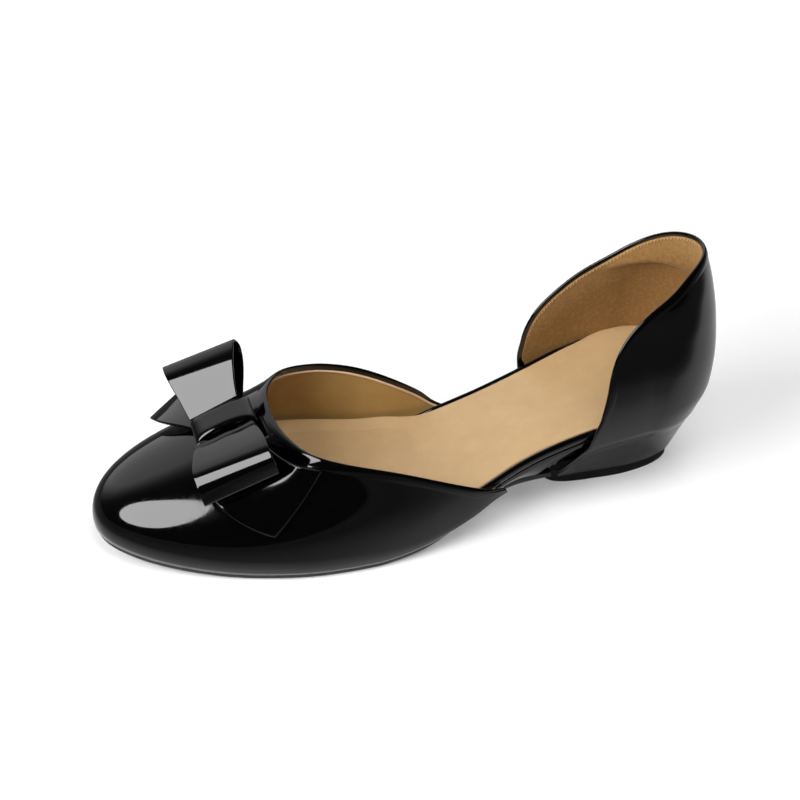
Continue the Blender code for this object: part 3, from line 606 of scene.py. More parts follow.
def quarter_places(count):
    fine = np.linspace(0, len(QUARTER) - 1, PLACE_POINTS)
    top = quarter_top(fine)
    path = cup_point(top[:, 0], top[:, 1])
    low = cup_point(top[:, 2], np.full(len(top), LIFT_HEIGHT + GAP))
    run = lengths(path) + lengths(low)
    return np.interp(np.linspace(0, run[-1], count), run, fine)


def block_inset(z):
    """Clearance inside the quarter, more where the wall leans."""
    share = blend(z, *BLOCK_CLEAR_RISE)
    return (QUARTER_WALL + GAP) * (BLOCK_CLEAR_LOW + (BLOCK_CLEAR_HIGH - BLOCK_CLEAR_LOW) * share)


def block_side(side, x, z):
    """Edge of the heel block inside the cup, at one x and a row of heights."""
    inset = block_inset(z)
    back = cup_row(z)[0] + inset
    share = np.clip((back + CUP_RUN - inset - x) / (CUP_RUN - inset), 0, 1)
    across = x + 0 * z
    width = cup_row(seat_height(across, z))[1 if side > 0 else 2] - narrowing(side, across, z) - inset
    bow = np.sqrt(1 - share**2)
    middle = CUP_MIDDLE * (1 - blend(bow, 0.0, BLOCK_MIDDLE_END))
    return middle + side * width * bow


# Bow
def bow_frame():
    pitch = math.radians(BOW_PITCH)
    roll = math.radians(BOW_ROLL)
    along = np.array([math.cos(pitch), 0, -math.sin(pitch)])
    across = np.array([0, math.cos(roll), -math.sin(roll)])
    across = unit(across - along * np.dot(across, along))
    return along, across, np.cross(along, across)


def vamp_patch(sections, parts):
    """Points and outward normals of the vamp's face at a grid of places."""
    step = 0.02

    def face(on, up):
        rows = [vamp_surface(row + on, part[:, None] + up) for row, part in zip(sections, parts)]
        return np.array(rows)[:, :, 0]

    centre = face(0.0, 0.0)
    normal = unit(np.cross(face(0.0, step) - centre, face(step, 0.0) - centre))
    return centre, normal


# Place of the modelling frame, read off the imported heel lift
def lift_outline(count, inset=0.0):
    """Outline of the heel lift, with a blunt front, as rows of x and y."""
    middle = CUP[0][1] + LIFT_INSET + CUP_RUN
    points = []
    for angle in circle(count):
        c = math.cos(angle)
        s = math.sin(angle)
        side = 1 if s >= 0 else -1
        if c < 0:
            x = middle + c * CUP_RUN
            share = abs(s)
        else:
            x = middle + (LIFT_FRONT - middle) * c**LIFT_BLUNT
            share = abs(s) ** LIFT_BLUNT
        narrow = float(narrowing(side, np.array([x]), 0.0)[0])
        width = CUP[0][2 if side > 0 else 3] - LIFT_INSET - narrow
        points.append((x, side * share * width))
    points = np.array(points)
    along = np.roll(points, -1, axis=0) - np.roll(points, 1, axis=0)
    return points - unit(np.stack([along[:, 1], -along[:, 0]], 1)) * inset


def model_origin():
    low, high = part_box("heel_lift")
    outline = lift_outline(LIFT_SIDES)
    return np.array([outline[:, 0].min() - low[0] / MM, outline[:, 1].max() - high[1] / MM, 0.0])


ORIGIN = model_origin()


# Meshes
def new_object(name, data):
    made = bpy.data.objects.new(name, data)
    bpy.context.scene.collection.objects.link(made)
    return made


def add_piece(name, points, faces, look, nodes=()):
    mesh = bpy.data.meshes.new(name)
    mesh.from_pydata(((np.asarray(points) - ORIGIN) * MM).tolist(), [], faces)
    mesh.shade_smooth()
    mesh.set_sharp_from_angle(angle=math.radians(50))
    mesh.materials.append(look)
    piece = new_object(name, mesh)
    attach(piece, "root")
    if nodes:
        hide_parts(*nodes)
    return piece


def grid_faces(rows, columns):
    faces = []
    for i in range(rows - 1):
        for j in range(columns - 1):
            a = i * columns + j
            faces.append((a, a + columns, a + columns + 1, a + 1))
    return faces


def sheet(name, grid, thick, look, nodes=(), soft_edge=0.0):
    """Open surface through a grid of points, thickened away from the side its normals face."""
    piece = add_piece(name, grid.reshape(-1, 3), grid_faces(*grid.shape[:2]), look, nodes)
    solidify = piece.modifiers.new("wall", "SOLIDIFY")
    solidify.thickness = thick * MM
    solidify.offset = -1
    if soft_edge:
        bevel = piece.modifiers.new("soft edge", "BEVEL")
        bevel.width = soft_edge * MM
        bevel.segments = 2
        bevel.angle_limit = math.radians(60)


def loft_faces(count, around):
    faces = []
    for i in range(count - 1):
        for j in range(around):
            k = (j + 1) % around
            a = i * around
            b = a + around
            faces.append((a + j, a + k, b + k, b + j))
    faces.append(tuple(reversed(range(around))))
    faces.append(tuple((count - 1) * around + j for j in range(around)))
    return faces


def loft(name, rings, look, nodes=()):
    """Solid through rings with as many points each, capped at both ends."""
    rings = np.asarray(rings, float)
    add_piece(name, rings.reshape(-1, 3), loft_faces(*rings.shape[:2]), look, nodes)


def normals(grid):
    """Unit normals of a grid, on the side that its faces face."""
    return unit(np.cross(np.gradient(grid, axis=0), np.gradient(grid, axis=1)))


# Materials
def new_material(name, **settings):
    made = bpy.data.materials.new(name)
    made.use_nodes = True
    shader = made.node_tree.nodes["Principled BSDF"]
    for socket, value in settings.items():
        shader.inputs[socket.replace("_", " ")].default_value = value
    return made, shader


def add_node(tree, kind, inputs, **settings):
    """Outputs of a new shader node; each input takes a plain value or another node's output."""
    node = tree.nodes.new("ShaderNode" + kind)
    for name, value in settings.items():
        setattr(node, name, value)
    for socket, value in inputs.items():
        if isinstance(value, bpy.types.NodeSocket):
            tree.links.new(value, node.inputs[socket])
        else:
            node.inputs[socket].default_value = value
    return node.outputs


def object_place(tree):
    return add_node(tree, "TexCoord", {})["Object"]


def combine(tree, operation, first, second):
    return add_node(tree, "Math", {0: first, 1: second}, operation=operation)["Value"]


def noise(made, scale, detail=2.0, roughness=0.5):
    tree = made.node_tree
    inputs = {"Vector": object_place(tree), "Scale": scale, "Detail": detail, "Roughness": roughness}
    return add_node(tree, "TexNoise", inputs)["Fac"]


def cells(made, scale):
    tree = made.node_tree
    return add_node(tree, "TexVoronoi", {"Vector": object_place(tree), "Scale": scale})["Distance"]


def ramp_stops(tree, value, stops):
    """Maps a value to the colours or numbers of its stops."""
    node = tree.nodes.new("ShaderNodeValToRGB")
    for _ in range(len(stops) - 2):
        node.color_ramp.elements.new(0.5)
    for element, (position, level) in zip(node.color_ramp.elements, stops):
        element.position = position
        element.color = (*level, 1) if isinstance(level, tuple) else (level, level, level, 1)
    tree.links.new(value, node.inputs["Fac"])
    return node.outputs["Color"]


def ramp(made, value, low, high):
    """Maps a noise, most of which lies between 0.3 and 0.7, to a colour or number between two ends."""
    return ramp_stops(made.node_tree, value, ((0.3, low), (0.7, high)))


def bump(made, height, distance, strength, before=None):
    inputs = {"Height": height, "Distance": distance * MM, "Strength": strength}
    if before:
        inputs["Normal"] = before
    return add_node(made.node_tree, "Bump", inputs)["Normal"]


def link(made, output, shader, socket):
    made.node_tree.links.new(output, shader.inputs[socket])


def vary(made, shader, socket, value, low, high):
    link(made, ramp(made, value, low, high), shader, socket)


def patent(name, base, ripple):
    """Black patent leather: a clear gloss with a faint orange-peel and slow ripples."""
    made, shader = new_material(name, Coat_Weight=0.35, Coat_Roughness=0.03, IOR=1.5)
    vary(made, shader, "Base Color", noise(made, 120, 3), base, tuple(1.6 * c for c in base))
    vary(made, shader, "Roughness", noise(made, 400, 4), 0.05, 0.1)
    slow = bump(made, noise(made, 70, 1), 0.5, ripple)
    fine = bump(made, noise(made, 900, 2), 0.02, 0.25, slow)
    link(made, fine, shader, "Normal")
    return made


def tan_leather(name, low, high, grain, roughness):
    """Smooth lining leather with soft colour clouds and a fine pore grain."""
    made, shader = new_material(name, Sheen_Weight=0.05, IOR=1.45)
    vary(made, shader, "Base Color", noise(made, 90, 5, 0.65), low, high)
    vary(made, shader, "Roughness", noise(made, 600, 3), roughness - 0.06, roughness + 0.06)
    pores = bump(made, cells(made, 1500), 0.05, grain)
    link(made, bump(made, noise(made, 350, 5), 0.08, grain, pores), shader, "Normal")
    return made


# Slope of the topline along the heel cup, and the heights at its back where painted shade low in the cup
# turns to painted light at the topline
TOPLINE_SLOPE = 0.63
PAINTED_LIGHT_HEIGHTS = (80, 93)
PAINTED_LIGHT_SHIFTS = (-0.18, 0.12)


def suede(name, low, high):
    """Brushed lining with a short nap, with painted shade low in the cup and painted light towards the
    topline.
    """
    made, shader = new_material(name, Roughness=0.9, Sheen_Weight=0.25, Sheen_Roughness=0.4)
    tree = made.node_tree
    slope = {0: object_place(tree), 1: (TOPLINE_SLOPE, 0.0, 1.0)}
    light_map_inputs = {"Value": add_node(tree, "VectorMath", slope, operation="DOT_PRODUCT")["Value"]}
    for end, height, shift in zip(("Min", "Max"), PAINTED_LIGHT_HEIGHTS, PAINTED_LIGHT_SHIFTS):
        light_map_inputs["From " + end] = (height - TOPLINE_SLOPE * ORIGIN[0]) * MM
        light_map_inputs["To " + end] = shift
    # painted shade low in the cup and painted light up at the topline, set by height alone
    painted_light_and_shade = add_node(tree, "MapRange", light_map_inputs)["Result"]
    total = combine(tree, "ADD", painted_light_and_shade, noise(made, 700, 6, 0.75))
    vary(made, shader, "Base Color", total, low, high)
    nap = bump(made, noise(made, 2200, 4, 0.7), 0.16, 0.7)
    link(made, bump(made, noise(made, 260, 3), 0.25, 0.25, nap), shader, "Normal")
    return made


def rubber(name, low, high):
    made, shader = new_material(name, IOR=1.5)
    vary(made, shader, "Base Color", noise(made, 500, 4), low, high)
    vary(made, shader, "Roughness", noise(made, 300, 3), 0.38, 0.56)
    link(made, bump(made, noise(made, 1800, 3), 0.05, 0.5), shader, "Normal")
    return made


BLACK = (0.0006, 0.0006, 0.0007)
black = patent("black patent", BLACK, 0.05)
piping = patent("black piping", BLACK, 0.02)
ribbon = patent("black ribbon", BLACK, 0.05)
sock_leather = tan_leather("tan sock", (0.455, 0.30, 0.148), (0.505, 0.338, 0.172), 0.10, 0.42)
lining_leather = tan_leather("tan lining", (0.42, 0.25, 0.075), (0.48, 0.295, 0.098), 0.22, 0.5)
lining_edge = tan_leather("lining edge", (0.55, 0.36, 0.22), (0.62, 0.42, 0.27), 0.2, 0.55)
nap_lining = suede("tan suede", (0.235, 0.115, 0.026), (0.40, 0.225, 0.07))
tread_rubber = rubber("tread rubber", (0.002, 0.002, 0.002), (0.005, 0.005, 0.005))
thread = rubber("thread", (0.50, 0.36, 0.22), (0.64, 0.48, 0.32))


# Sole: edge of the outsole as inset and part of the thickness, rings along the foot, and how far
# the outsole reaches up into the gap above it
SOLE_EDGE = ((1.5, 0), (0.8, 0.03), (0.3, 0.14), (0.05, 0.36), (0, 0.6), (0.05, 0.9), (0.5, 1))
OUTSOLE_RINGS = 200
FOOT_RINGS = 220
SOLE_REACH = 0.25


def edge_ring(x, outer, inner, rows):
    """Ring across the foot at x, from rows of inset and height that go up its edge."""
    a = outer(x)
    b = inner(x)
    small = min(1.0, (a - b) / NARROWEST_BEVEL)
    near = [(x, a - small * inset, z) for inset, z in rows]
    far = [(x, b + small * inset, z) for inset, z in rows]
    return near + far[::-1]


def make_outsole():
    outer, inner, _, toe = edges(sole_inset)
    thick = SOLE_THICK + SOLE_REACH
    rings = []
    for x in stations(OUTSOLE_BACK, toe, OUTSOLE_RINGS):
        rows = [(inset, tread(x) + thick * part) for inset, part in SOLE_EDGE]
        rings.append(edge_ring(x, outer, inner, rows))
    loft("outsole_sheet", rings, tread_rubber, ("outsole",))


# Edge of the heel lift: inset and height
LIFT_EDGE = ((0.7, 0), (0.2, 0.12), (0, 0.5), (0, 5), (0.12, 5.55), (0.6, 5.75))
LIFT_POINTS = 160


def make_heel_lift():
    rings = []
    for inset, height in LIFT_EDGE:
        outline = lift_outline(LIFT_POINTS, inset)
        rings.append(np.column_stack([outline, np.full(len(outline), height)]))
    loft("heel_tread", rings, tread_rubber, ("heel_lift",))


# Heel cover: its points up each side, the rings of its two parts and the step between them, and
# its clearance under the footbed and elsewhere
COVER_POINTS = 24
COVER_RINGS = 70
COVER_STEP = 0.6
COVER_TOP_GAP = 0.1
COVER_GAP = 0.2


def make_heel_block():
    outer, inner = edges(footbed_inset)[:2]
    heights = np.linspace(LIFT_HEIGHT, BLOCK_TOP, CURVE_POINTS)
    backs = cup_row(heights)[0] + block_inset(heights)
    part = np.linspace(0, 1, COVER_POINTS)
    slope = 1.0 + BLOCK_LEAN * (1 - part) ** BLOCK_LEAN_POWER
    split = BLOCK_HEEL[1]
    rings = []
    waist_places = np.linspace(split + COVER_STEP, BLOCK_WAIST_END, COVER_RINGS)
    for x in np.concatenate([stations(*BLOCK_HEEL, COVER_RINGS), waist_places]):
        top = float(footbed_under(x)) - COVER_TOP_GAP
        if x <= split:
            bottom = max(LIFT_HEIGHT + GAP, float(heights[backs < x - COVER_GAP].min()))
        else:
            bottom = float(tread(x)) + SOLE_THICK + COVER_GAP
        z = bottom + (top - bottom) * part
        risen = np.clip(z, *BLOCK_OUTER_RISE) - BLOCK_OUTER_RISE[0]
        outer_start = BLOCK_OUTER_START - BLOCK_OUTER_SLOPE * risen
        inner_start = BLOCK_INNER_START + BLOCK_INNER_SHIFT * blend(z, *BLOCK_INNER_RISE)
        near = block_side(1, x, z)
        far = block_side(-1, x, z)
        near = near + (outer(x) - slope - near) * blend(x, outer_start, outer_start + BLOCK_TURN)
        far = far + (inner(x) + slope - far) * blend(x, inner_start, inner_start + BLOCK_TURN)
        rings.append([(x, *place) for place in [*zip(near, z), *zip(far[::-1], z[::-1])]])
    loft("heel_cover", rings, black, ("heel_block",))


def make_footbed():
    outer, inner, low, high = edges(footbed_inset)
    run = lengths(FOOTBED_EDGE)
    fine = spline(run, FOOTBED_EDGE, np.linspace(0, run[-1], EDGE_POINTS))[::-1]
    rings = []
    for x in stations(low, high, FOOT_RINGS):
        top_z = sock_top(x) - SOCK_THICK - GAP
        deep = top_z - footbed_under(x)
        bead = waist(x)
        rows = [(inset, top_z - deep * part + bead * rise) for inset, part, rise in fine]
        rings.append(edge_ring(x, outer, inner, rows))
    loft("footbed_wrap", rings, piping, ("footbed",))


# Sock: how it cups up to the wall, where its edge turns down, and its reach round the heel
SOCK_COLUMNS = 49
SOCK_CUP = 2.6
SOCK_CUP_START = (106, 128)
SOCK_CUP_FROM = 0.62
SOCK_EDGE_FROM = 0.985
SOCK_CLEAR = 0.2
SOCK_HEEL_REACH = 2.2
SOCK_HEEL_END = (24, 64)


def heel_reach(x):
    """The sock comes out to the lining round the heel."""
    return sock_inset(x) - SOCK_HEEL_REACH * (1 - blend(x, *SOCK_HEEL_END))


def make_sock():
    outer, inner, low, high = edges(heel_reach)
    across = np.sin(np.linspace(-1, 1, SOCK_COLUMNS) * math.pi / 2)
    outward = np.abs(across)
    rings = []
    for x in stations(low, high, FOOT_RINGS):
        top_z = sock_top(x)
        a = outer(x)
        b = inner(x)
        soft = min(SOCK_BEVEL, (a - b) / NARROWEST_BEVEL)
        y = (a + b) / 2 - across * (a - b) / 2
        cup = SOCK_CUP * blend(x, *SOCK_CUP_START) * blend(outward, SOCK_CUP_FROM, 1.0)
        z = top_z + cup - soft * blend(outward, SOCK_EDGE_FROM, 1.0)
        top = np.column_stack([np.full(len(y), x), y, z])
        under = top[[-1, 0]] - np.array([0, 0, SOCK_THICK - SOCK_CLEAR])
        rings.append(np.vstack([top, under])[::-1])
    loft("sock_sheet", rings, sock_leather, ("insole_sock",))


# Upper: thickness of the outer leather and its glue, and how near it comes to the binding's middle
OUTER_THICK = 0.8
GLUE = 0.05
TUCK = 0.5


def smooth(rows, width):
    """Rows averaged with their neighbours along a path."""
    reach = 3 * width
    weights = np.exp(-0.5 * (np.arange(-reach, reach + 1) / width) ** 2)
    weights /= weights.sum()
    padded = np.pad(rows, ((reach, reach), (0, 0)), mode="edge")
    return np.stack([np.convolve(padded[:, k], weights, "valid") for k in range(rows.shape[1])], 1)


# Bindings: how they thin at the ends, their section, and the rows their directions are smoothed over
END_THIN = 0.3
END_RUN = 14
BINDING_POINTS = 24
BINDING_SQUARE = 0.8
BINDING_TOP = 1.1
BINDING_UP_ROWS = 4
BINDING_OUT_ROWS = 5
CORD_POINTS = 10


def rounded(wave, power):
    """Sine or cosine drawn out towards a square wave by a power below 1."""
    return np.sign(wave) * np.abs(wave) ** power


def make_binding(name, rim, below, high, thick, inward, node, lump):
    """Rolled strip over the edge of a wall: a rounded section along the rim, below is on the wall."""
    along = unit(np.gradient(rim, axis=0))
    up = unit(smooth(unit(rim - below), BINDING_UP_ROWS))
    out = unit(smooth(np.cross(along, up), BINDING_OUT_ROWS))
    up = unit(np.cross(out, along))
    run = lengths(rim)
    lump = lump * (END_THIN + (1 - END_THIN) * blend(np.minimum(run, run[-1] - run), 0.0, END_RUN))
    angles = circle(BINDING_POINTS)
    c = rounded(np.cos(angles), BINDING_SQUARE)
    s = rounded(np.sin(angles), BINDING_SQUARE)
    rings = (
        rim[:, None]
        - out[:, None] * inward
        - up[:, None] * ((high - BINDING_TOP) * lump)[:, None, None]
        + up[:, None] * (s * high)[None, :, None] * lump[:, None, None]
        + out[:, None] * (c * thick)[None, :, None] * lump[:, None, None]
    )
    loft(name, rings, piping, (node,))


def make_cord(name, path, radius, look):
    along = unit(np.gradient(path, axis=0))
    side = unit(np.cross(along, (0, 0, 1)))
    up = np.cross(side, along)
    angles = circle(CORD_POINTS)
    rings = path[:, None] + radius * (
        side[:, None] * np.cos(angles)[None, :, None] + up[:, None] * np.sin(angles)[None, :, None]
    )
    loft(name, rings, look)


# Vamp: its grid, its lining's edge, then the binding's half height, half thickness and shift inwards
VAMP_ROWS = 260
VAMP_COLUMNS = 72
VAMP_LINING_SHORT = 3
VAMP_EDGE_SHORT = 4
VAMP_EDGE_RADIUS = 0.5
VAMP_EDGE_SUNK = 0.2
VAMP_ROLL = (2.6, 0.83, 0.73)


def make_vamp():
    places = vamp_places(VAMP_ROWS)[::-1]
    parts = np.linspace(0, 1, VAMP_COLUMNS) ** VAMP_SPREAD
    outer = vamp_surface(places, parts, TUCK)
    sheet("vamp_upper", outer, OUTER_THICK, black, ("vamp",))
    inner = outer - normals(outer) * (OUTER_THICK + GLUE)
    inner = inner[:, :-VAMP_LINING_SHORT]
    sheet("vamp_lining", inner, VAMP_WALL - OUTER_THICK - GLUE, lining_leather)
    control = vamp_curves(places)
    rim = control[:, 3]
    below = control[:, 2] * 0.2 + rim * 0.8 - (outer[:, -1] - outer[:, -6]) * 0.2
    make_binding("vamp_rolled_edge", rim, below, *VAMP_ROLL, "vamp_binding", np.ones(len(rim)))
    face = inner - normals(inner) * (VAMP_WALL - OUTER_THICK - VAMP_EDGE_SUNK)
    edge = face[VAMP_EDGE_SHORT:-VAMP_EDGE_SHORT, -1]
    make_cord("vamp_lining_edge", edge, VAMP_EDGE_RADIUS, lining_edge)


# Quarter: its grid, the binding as on the vamp, and the swelling of its seam
QUARTER_ROWS = 240
QUARTER_COLUMNS = 80
QUARTER_ROLL = (2.4, 0.85, 0.75)
BELOW_RIM = 0.06
SEAM_PLACE = 0.48
SEAM_SWELL = 0.06
SEAM_ROWS = 2.2


def make_quarter():
    places = quarter_places(QUARTER_ROWS)
    outer = quarter_surface(places, np.linspace(0, 1, QUARTER_COLUMNS), TUCK)
    sheet("quarter_upper", outer, OUTER_THICK, black, ("quarter",))
    top = quarter_top(places)
    rim = cup_point(top[:, 0], top[:, 1])
    low = LIFT_HEIGHT + GAP
    place = top[:, 0] + BELOW_RIM * (top[:, 2] - top[:, 0])
    below = cup_point(place, top[:, 1] + BELOW_RIM * (low - top[:, 1]))
    from_seam = np.arange(len(places)) - len(places) * SEAM_PLACE
    lump = 1 + SEAM_SWELL * np.exp(-((from_seam / SEAM_ROWS) ** 2))
    make_binding("quarter_rolled_edge", rim, below, *QUARTER_ROLL, "quarter_binding", lump)
    make_quarter_lining(places, outer)


# Quarter's lining: how far it dips beside the sock, its least height, then the grip: depth below
# the rim, thickness, where round the cup it turns shallow and ends, and how its lower edge fades
LINING_COLUMNS = 50
LINING_DIP = 2
LINING_LEAST = 3
GRIP_DEPTH = 17
GRIP_SHALLOWER = 0.75
GRIP_THICK = 2.4
GRIP_SHALLOW = (0.25, 1.25)
GRIP_END = (0.9, 1.3)
GRIP_FADE = (-1, 1.4)
STITCHES_SUNK = 0.1


def make_quarter_lining(places, outer):
    """Lining from just under the sock up to the binding, with a padded grip round the heel."""
    inner = outer - normals(outer) * (OUTER_THICK + GLUE)
    run = np.linalg.norm(inner - inner[:, -1:], axis=2)
    turn = np.abs(quarter_top(places)[:, 0])[:, None]
    depth = GRIP_DEPTH * (1 - GRIP_SHALLOWER * blend(turn, *GRIP_SHALLOW))
    lean = np.clip(run / depth, 0, 1)
    grip = blend(depth - run, *GRIP_FADE) * (1 - blend(turn, *GRIP_END)) * lean
    inner = inner - normals(inner) * (GRIP_THICK * grip)[..., None]
    rows = []
    for row in inner:
        above = row[:, 2] - sock_top(row[:, 0]) + LINING_DIP
        if above[-1] < LINING_LEAST:
            continue
        start = np.interp(0.0, above, np.arange(len(row)))
        rows.append(read(np.linspace(start, len(row) - 1, LINING_COLUMNS), np.arange(len(row)), row))
    inner = np.array(rows)
    sheet("quarter_lining", inner, QUARTER_WALL - OUTER_THICK - GLUE, nap_lining)
    make_stitches(inner - normals(inner) * (QUARTER_WALL - OUTER_THICK - STITCHES_SUNK))


# Stitches, with the share of the length and the radius of each ring
STITCH_LOWEST = 44
STITCH_SPACING = 1.5
STITCH_SLANT = 0.5
STITCH_START = 0.1
STITCH_LENGTH = 1.1
STITCH_BELOW = 0.2
STITCH_SIDES = 6
STITCH_RINGS = ((0, 0.12), (0.25, 0.26), (0.75, 0.26), (1, 0.12))


def make_stitches(face):
    """Short stitches that hold the binding to the lining round the topline."""
    down = unit(face[:, -5] - face[:, -1])
    line = face[:, -1] + STITCH_BELOW * down
    run = lengths(line)
    keep = run[line[:, 2] > STITCH_LOWEST]
    turns = circle(STITCH_SIDES)
    points = []
    faces = []
    for at in np.arange(keep.min(), keep.max(), STITCH_SPACING):
        spot = read(at, run, line)
        way = read(at, run, down)
        ahead = unit(read(at + STITCH_SLANT, run, line) - spot)
        lift = np.cross(ahead, way)
        start = len(points)
        for share, size in STITCH_RINGS:
            centre = spot + way * (STITCH_START + STITCH_LENGTH * share) + ahead * STITCH_SLANT * share
            for angle in turns:
                points.append(centre + size * (ahead * math.cos(angle) + lift * math.sin(angle)))
        for quad in loft_faces(len(STITCH_RINGS), STITCH_SIDES):
            faces.append(tuple(start + corner for corner in quad))
    add_piece("topline_stitches", points, faces, thread)


# Bow pieces: points along and across, softness of their edges, and for each side the gathers and
# the pleat at the knot
LOOP_GRID = (130, 48)
TAIL_GRID = (110, 36)
LOOP_SOFT = 0.4
TAIL_SOFT = 0.45
GATHER = {1: 0.2, -1: 0}
GATHER_TURN = 7
GATHER_REACH = 4
PLEAT = {1: 0.4, -1: 0}
PLEAT_PLACE = 3.4
PLEAT_WIDTH = 0.7


def make_loop(name, side, node):
    along, across, up = bow_frame()
    rows = LOOP_OUTER if side > 0 else LOOP_INNER
    run = lengths(rows[:, :2])
    path = spline(run, rows, np.linspace(0, run[-1], LOOP_GRID[0]))
    out, high, half, forward, skew, twist = path.T[..., None]
    share = np.linspace(-1, 1, LOOP_GRID[1]) * side
    start = out - rows[0, 0]
    gather = GATHER[side] * np.cos(share * GATHER_TURN) * np.exp(-start / GATHER_REACH)
    gather = gather - PLEAT[side] * np.exp(-(((start - PLEAT_PLACE) / PLEAT_WIDTH) ** 2))
    grid = (
        np.array(BOW_CENTRE)
        + (side * (out + skew * share))[..., None] * across
        + (high + twist * share + gather)[..., None] * up
        + (half * share + forward)[..., None] * along
    )
    sheet(name, grid, RIBBON_THICK, ribbon, (node,), LOOP_SOFT)


# Knot: rings and their points, how square its section is across and up, then how it rounds off,
# thins and falls to its ends, how narrow its middle is, and the dip along its top
KNOT_GRID = (70, 64)
KNOT_SQUARE = (0.4, 0.5)
KNOT_ROUND = 3
KNOT_THIN = 0.16
KNOT_FALL = 0.8
KNOT_NARROW = 0.07
KNOT_DIP = 0.15


def make_knot():
    """Band round the middle of the bow, with a soft lip along both edges."""
    along, across, up = bow_frame()
    turn = circle(KNOT_GRID[1])
    wide = rounded(np.cos(turn), KNOT_SQUARE[0])
    tall = rounded(np.sin(turn), KNOT_SQUARE[1])
    rings = []
    for s in np.sin(np.linspace(-1, 1, KNOT_GRID[0]) * math.pi / 2):
        fall = max(1 - abs(s) ** KNOT_ROUND, 0.0) ** 0.5
        middle = (KNOT_HIGH + KNOT_LOW) / 2 - KNOT_FALL * (1 - fall)
        half_high = (KNOT_HIGH - KNOT_LOW) / 2 * (KNOT_THIN + (1 - KNOT_THIN) * fall)
        half_wide = KNOT_HALF_WIDTH * (1 - KNOT_NARROW * (1 - abs(s)))
        dip = -KNOT_DIP * fall * np.clip(tall, 0, 1) * (1 - np.abs(wide) ** 2)
        rings.append(
            np.array(BOW_CENTRE)
            + along * KNOT_HALF_LENGTH * s
            + across * (KNOT_SHIFT + wide * half_wide)[:, None]
            + up * (middle + tall * half_high + dip)[:, None]
        )
    loft("bow_band", rings, ribbon, ("bow_knot",))


def make_tails():
    at = np.linspace(0, len(TAIL) - 1, TAIL_GRID[0])
    path = spline(np.arange(len(TAIL)), TAIL, at)[..., None]
    share = np.linspace(0, 1, TAIL_GRID[1])
    sections, parts, off = [path[:, k] * (1 - share) + path[:, k + 3] * share for k in range(3)]
    centre, normal = vamp_patch(sections, parts)
    face = centre + normal * (off + RIBBON_THICK)[..., None]
    sheet("bow_ends", face, RIBBON_THICK, ribbon, ("bow_tails",), TAIL_SOFT)


# Studio: corners of the floor, and how it glows: centre and reach in metres, then glow by nearness
FLOOR_CORNERS = ((-6, -6, 0), (6, -6, 0), (6, 6, 0), (-6, 6, 0))
FLOOR_GLOW = ((0, 0), (2, 2), ((0, 0.95), (0.5, 0.9), (0.75, 0.45), (0.875, 0.25)))
WHITE_GLOW = {"Emission_Color": (1, 1, 1, 1), "Specular_IOR_Level": 0}


def studio_object(name, points, faces, look, unseen=()):
    """Object round the shoe; unseen names the kinds of ray that pass it by."""
    mesh = bpy.data.meshes.new(name)
    mesh.from_pydata(points, [], faces)
    mesh.materials.append(look)
    made = new_object(name, mesh)
    for ray in unseen:
        setattr(made, "visible_" + ray, False)
    return made


def make_floor():
    """Pale floor that also glows a little, as a lit table does, so its shadows stay light."""
    made, shader = new_material("floor", Base_Color=(0.8, 0.8, 0.8, 1), Roughness=0.9, **WHITE_GLOW)
    link(made, glow_patch(made.node_tree, *FLOOR_GLOW), shader, "Emission Strength")
    floor = studio_object("floor", FLOOR_CORNERS, [(0, 1, 2, 3)], made)


BACKDROP_RADIUS = 5.5
BACKDROP_HEIGHT = 8
BACKDROP_SIDES = 96
BACKDROP_GLOW = 0.95


def make_backdrop():
    """Pale wall round the floor that only the camera sees, so it adds no light and no reflection."""
    turns = circle(BACKDROP_SIDES)
    ring = BACKDROP_RADIUS * np.stack([np.cos(turns), np.sin(turns)], 1)
    points = [(x, y, z) for z in (0.0, BACKDROP_HEIGHT) for x, y in ring.tolist()]
    faces = loft_faces(2, BACKDROP_SIDES)[:-2]
    settings = {"Base_Color": (0, 0, 0, 1), "Roughness": 1.0, "Emission_Strength": BACKDROP_GLOW}
    made = new_material("backdrop", **settings, **WHITE_GLOW)[0]
    wall = studio_object("backdrop", points, faces, made, ("diffuse", "glossy", "shadow", "transmission"))


def glow_patch(tree, centre, reach, stops):
    """Brightness that falls off round an ellipse on the floor: 1 in its middle, 0 at its reach."""
    scale = (1 / reach[0], 1 / reach[1], 1.0)
    shift = (-centre[0] * scale[0], -centre[1] * scale[1], 0.0)
    inputs = {"Vector": object_place(tree), "Location": shift, "Scale": scale}
    near = {"Vector": add_node(tree, "Mapping", inputs)["Vector"]}
    return ramp_stops(tree, add_node(tree, "TexGradient", near, gradient_type="SPHERICAL")["Fac"], stops)


# Where the card over the floor is clear: centre and reach in metres, then clearness by brightness. The
# card paints shade into the gloss, and its patch under the heel paints the contact shadow there
CARD_WAIST = (
    (-0.185, -0.02),
    (0.42, 0.238),
    ((0.0, 0.06), (0.21, 0.1), (0.343, 0.18), (0.393, 0.25), (0.443, 0.38), (0.53, 0.5), (0.607, 0.55)),
)
CARD_FOREFOOT = ((0.03, 0), (0.2, 0.1), ((0.3, 0), (0.38, 0.06), (0.5, 0.5), (0.56, 1)))
CARD_HEEL_SHADOW = ((-0.075, 0.005), (0.09, 0.075), ((0.5, 1), (0.6, 0.95), (0.72, 0.38)))
CARD_HEIGHT = 0.0004


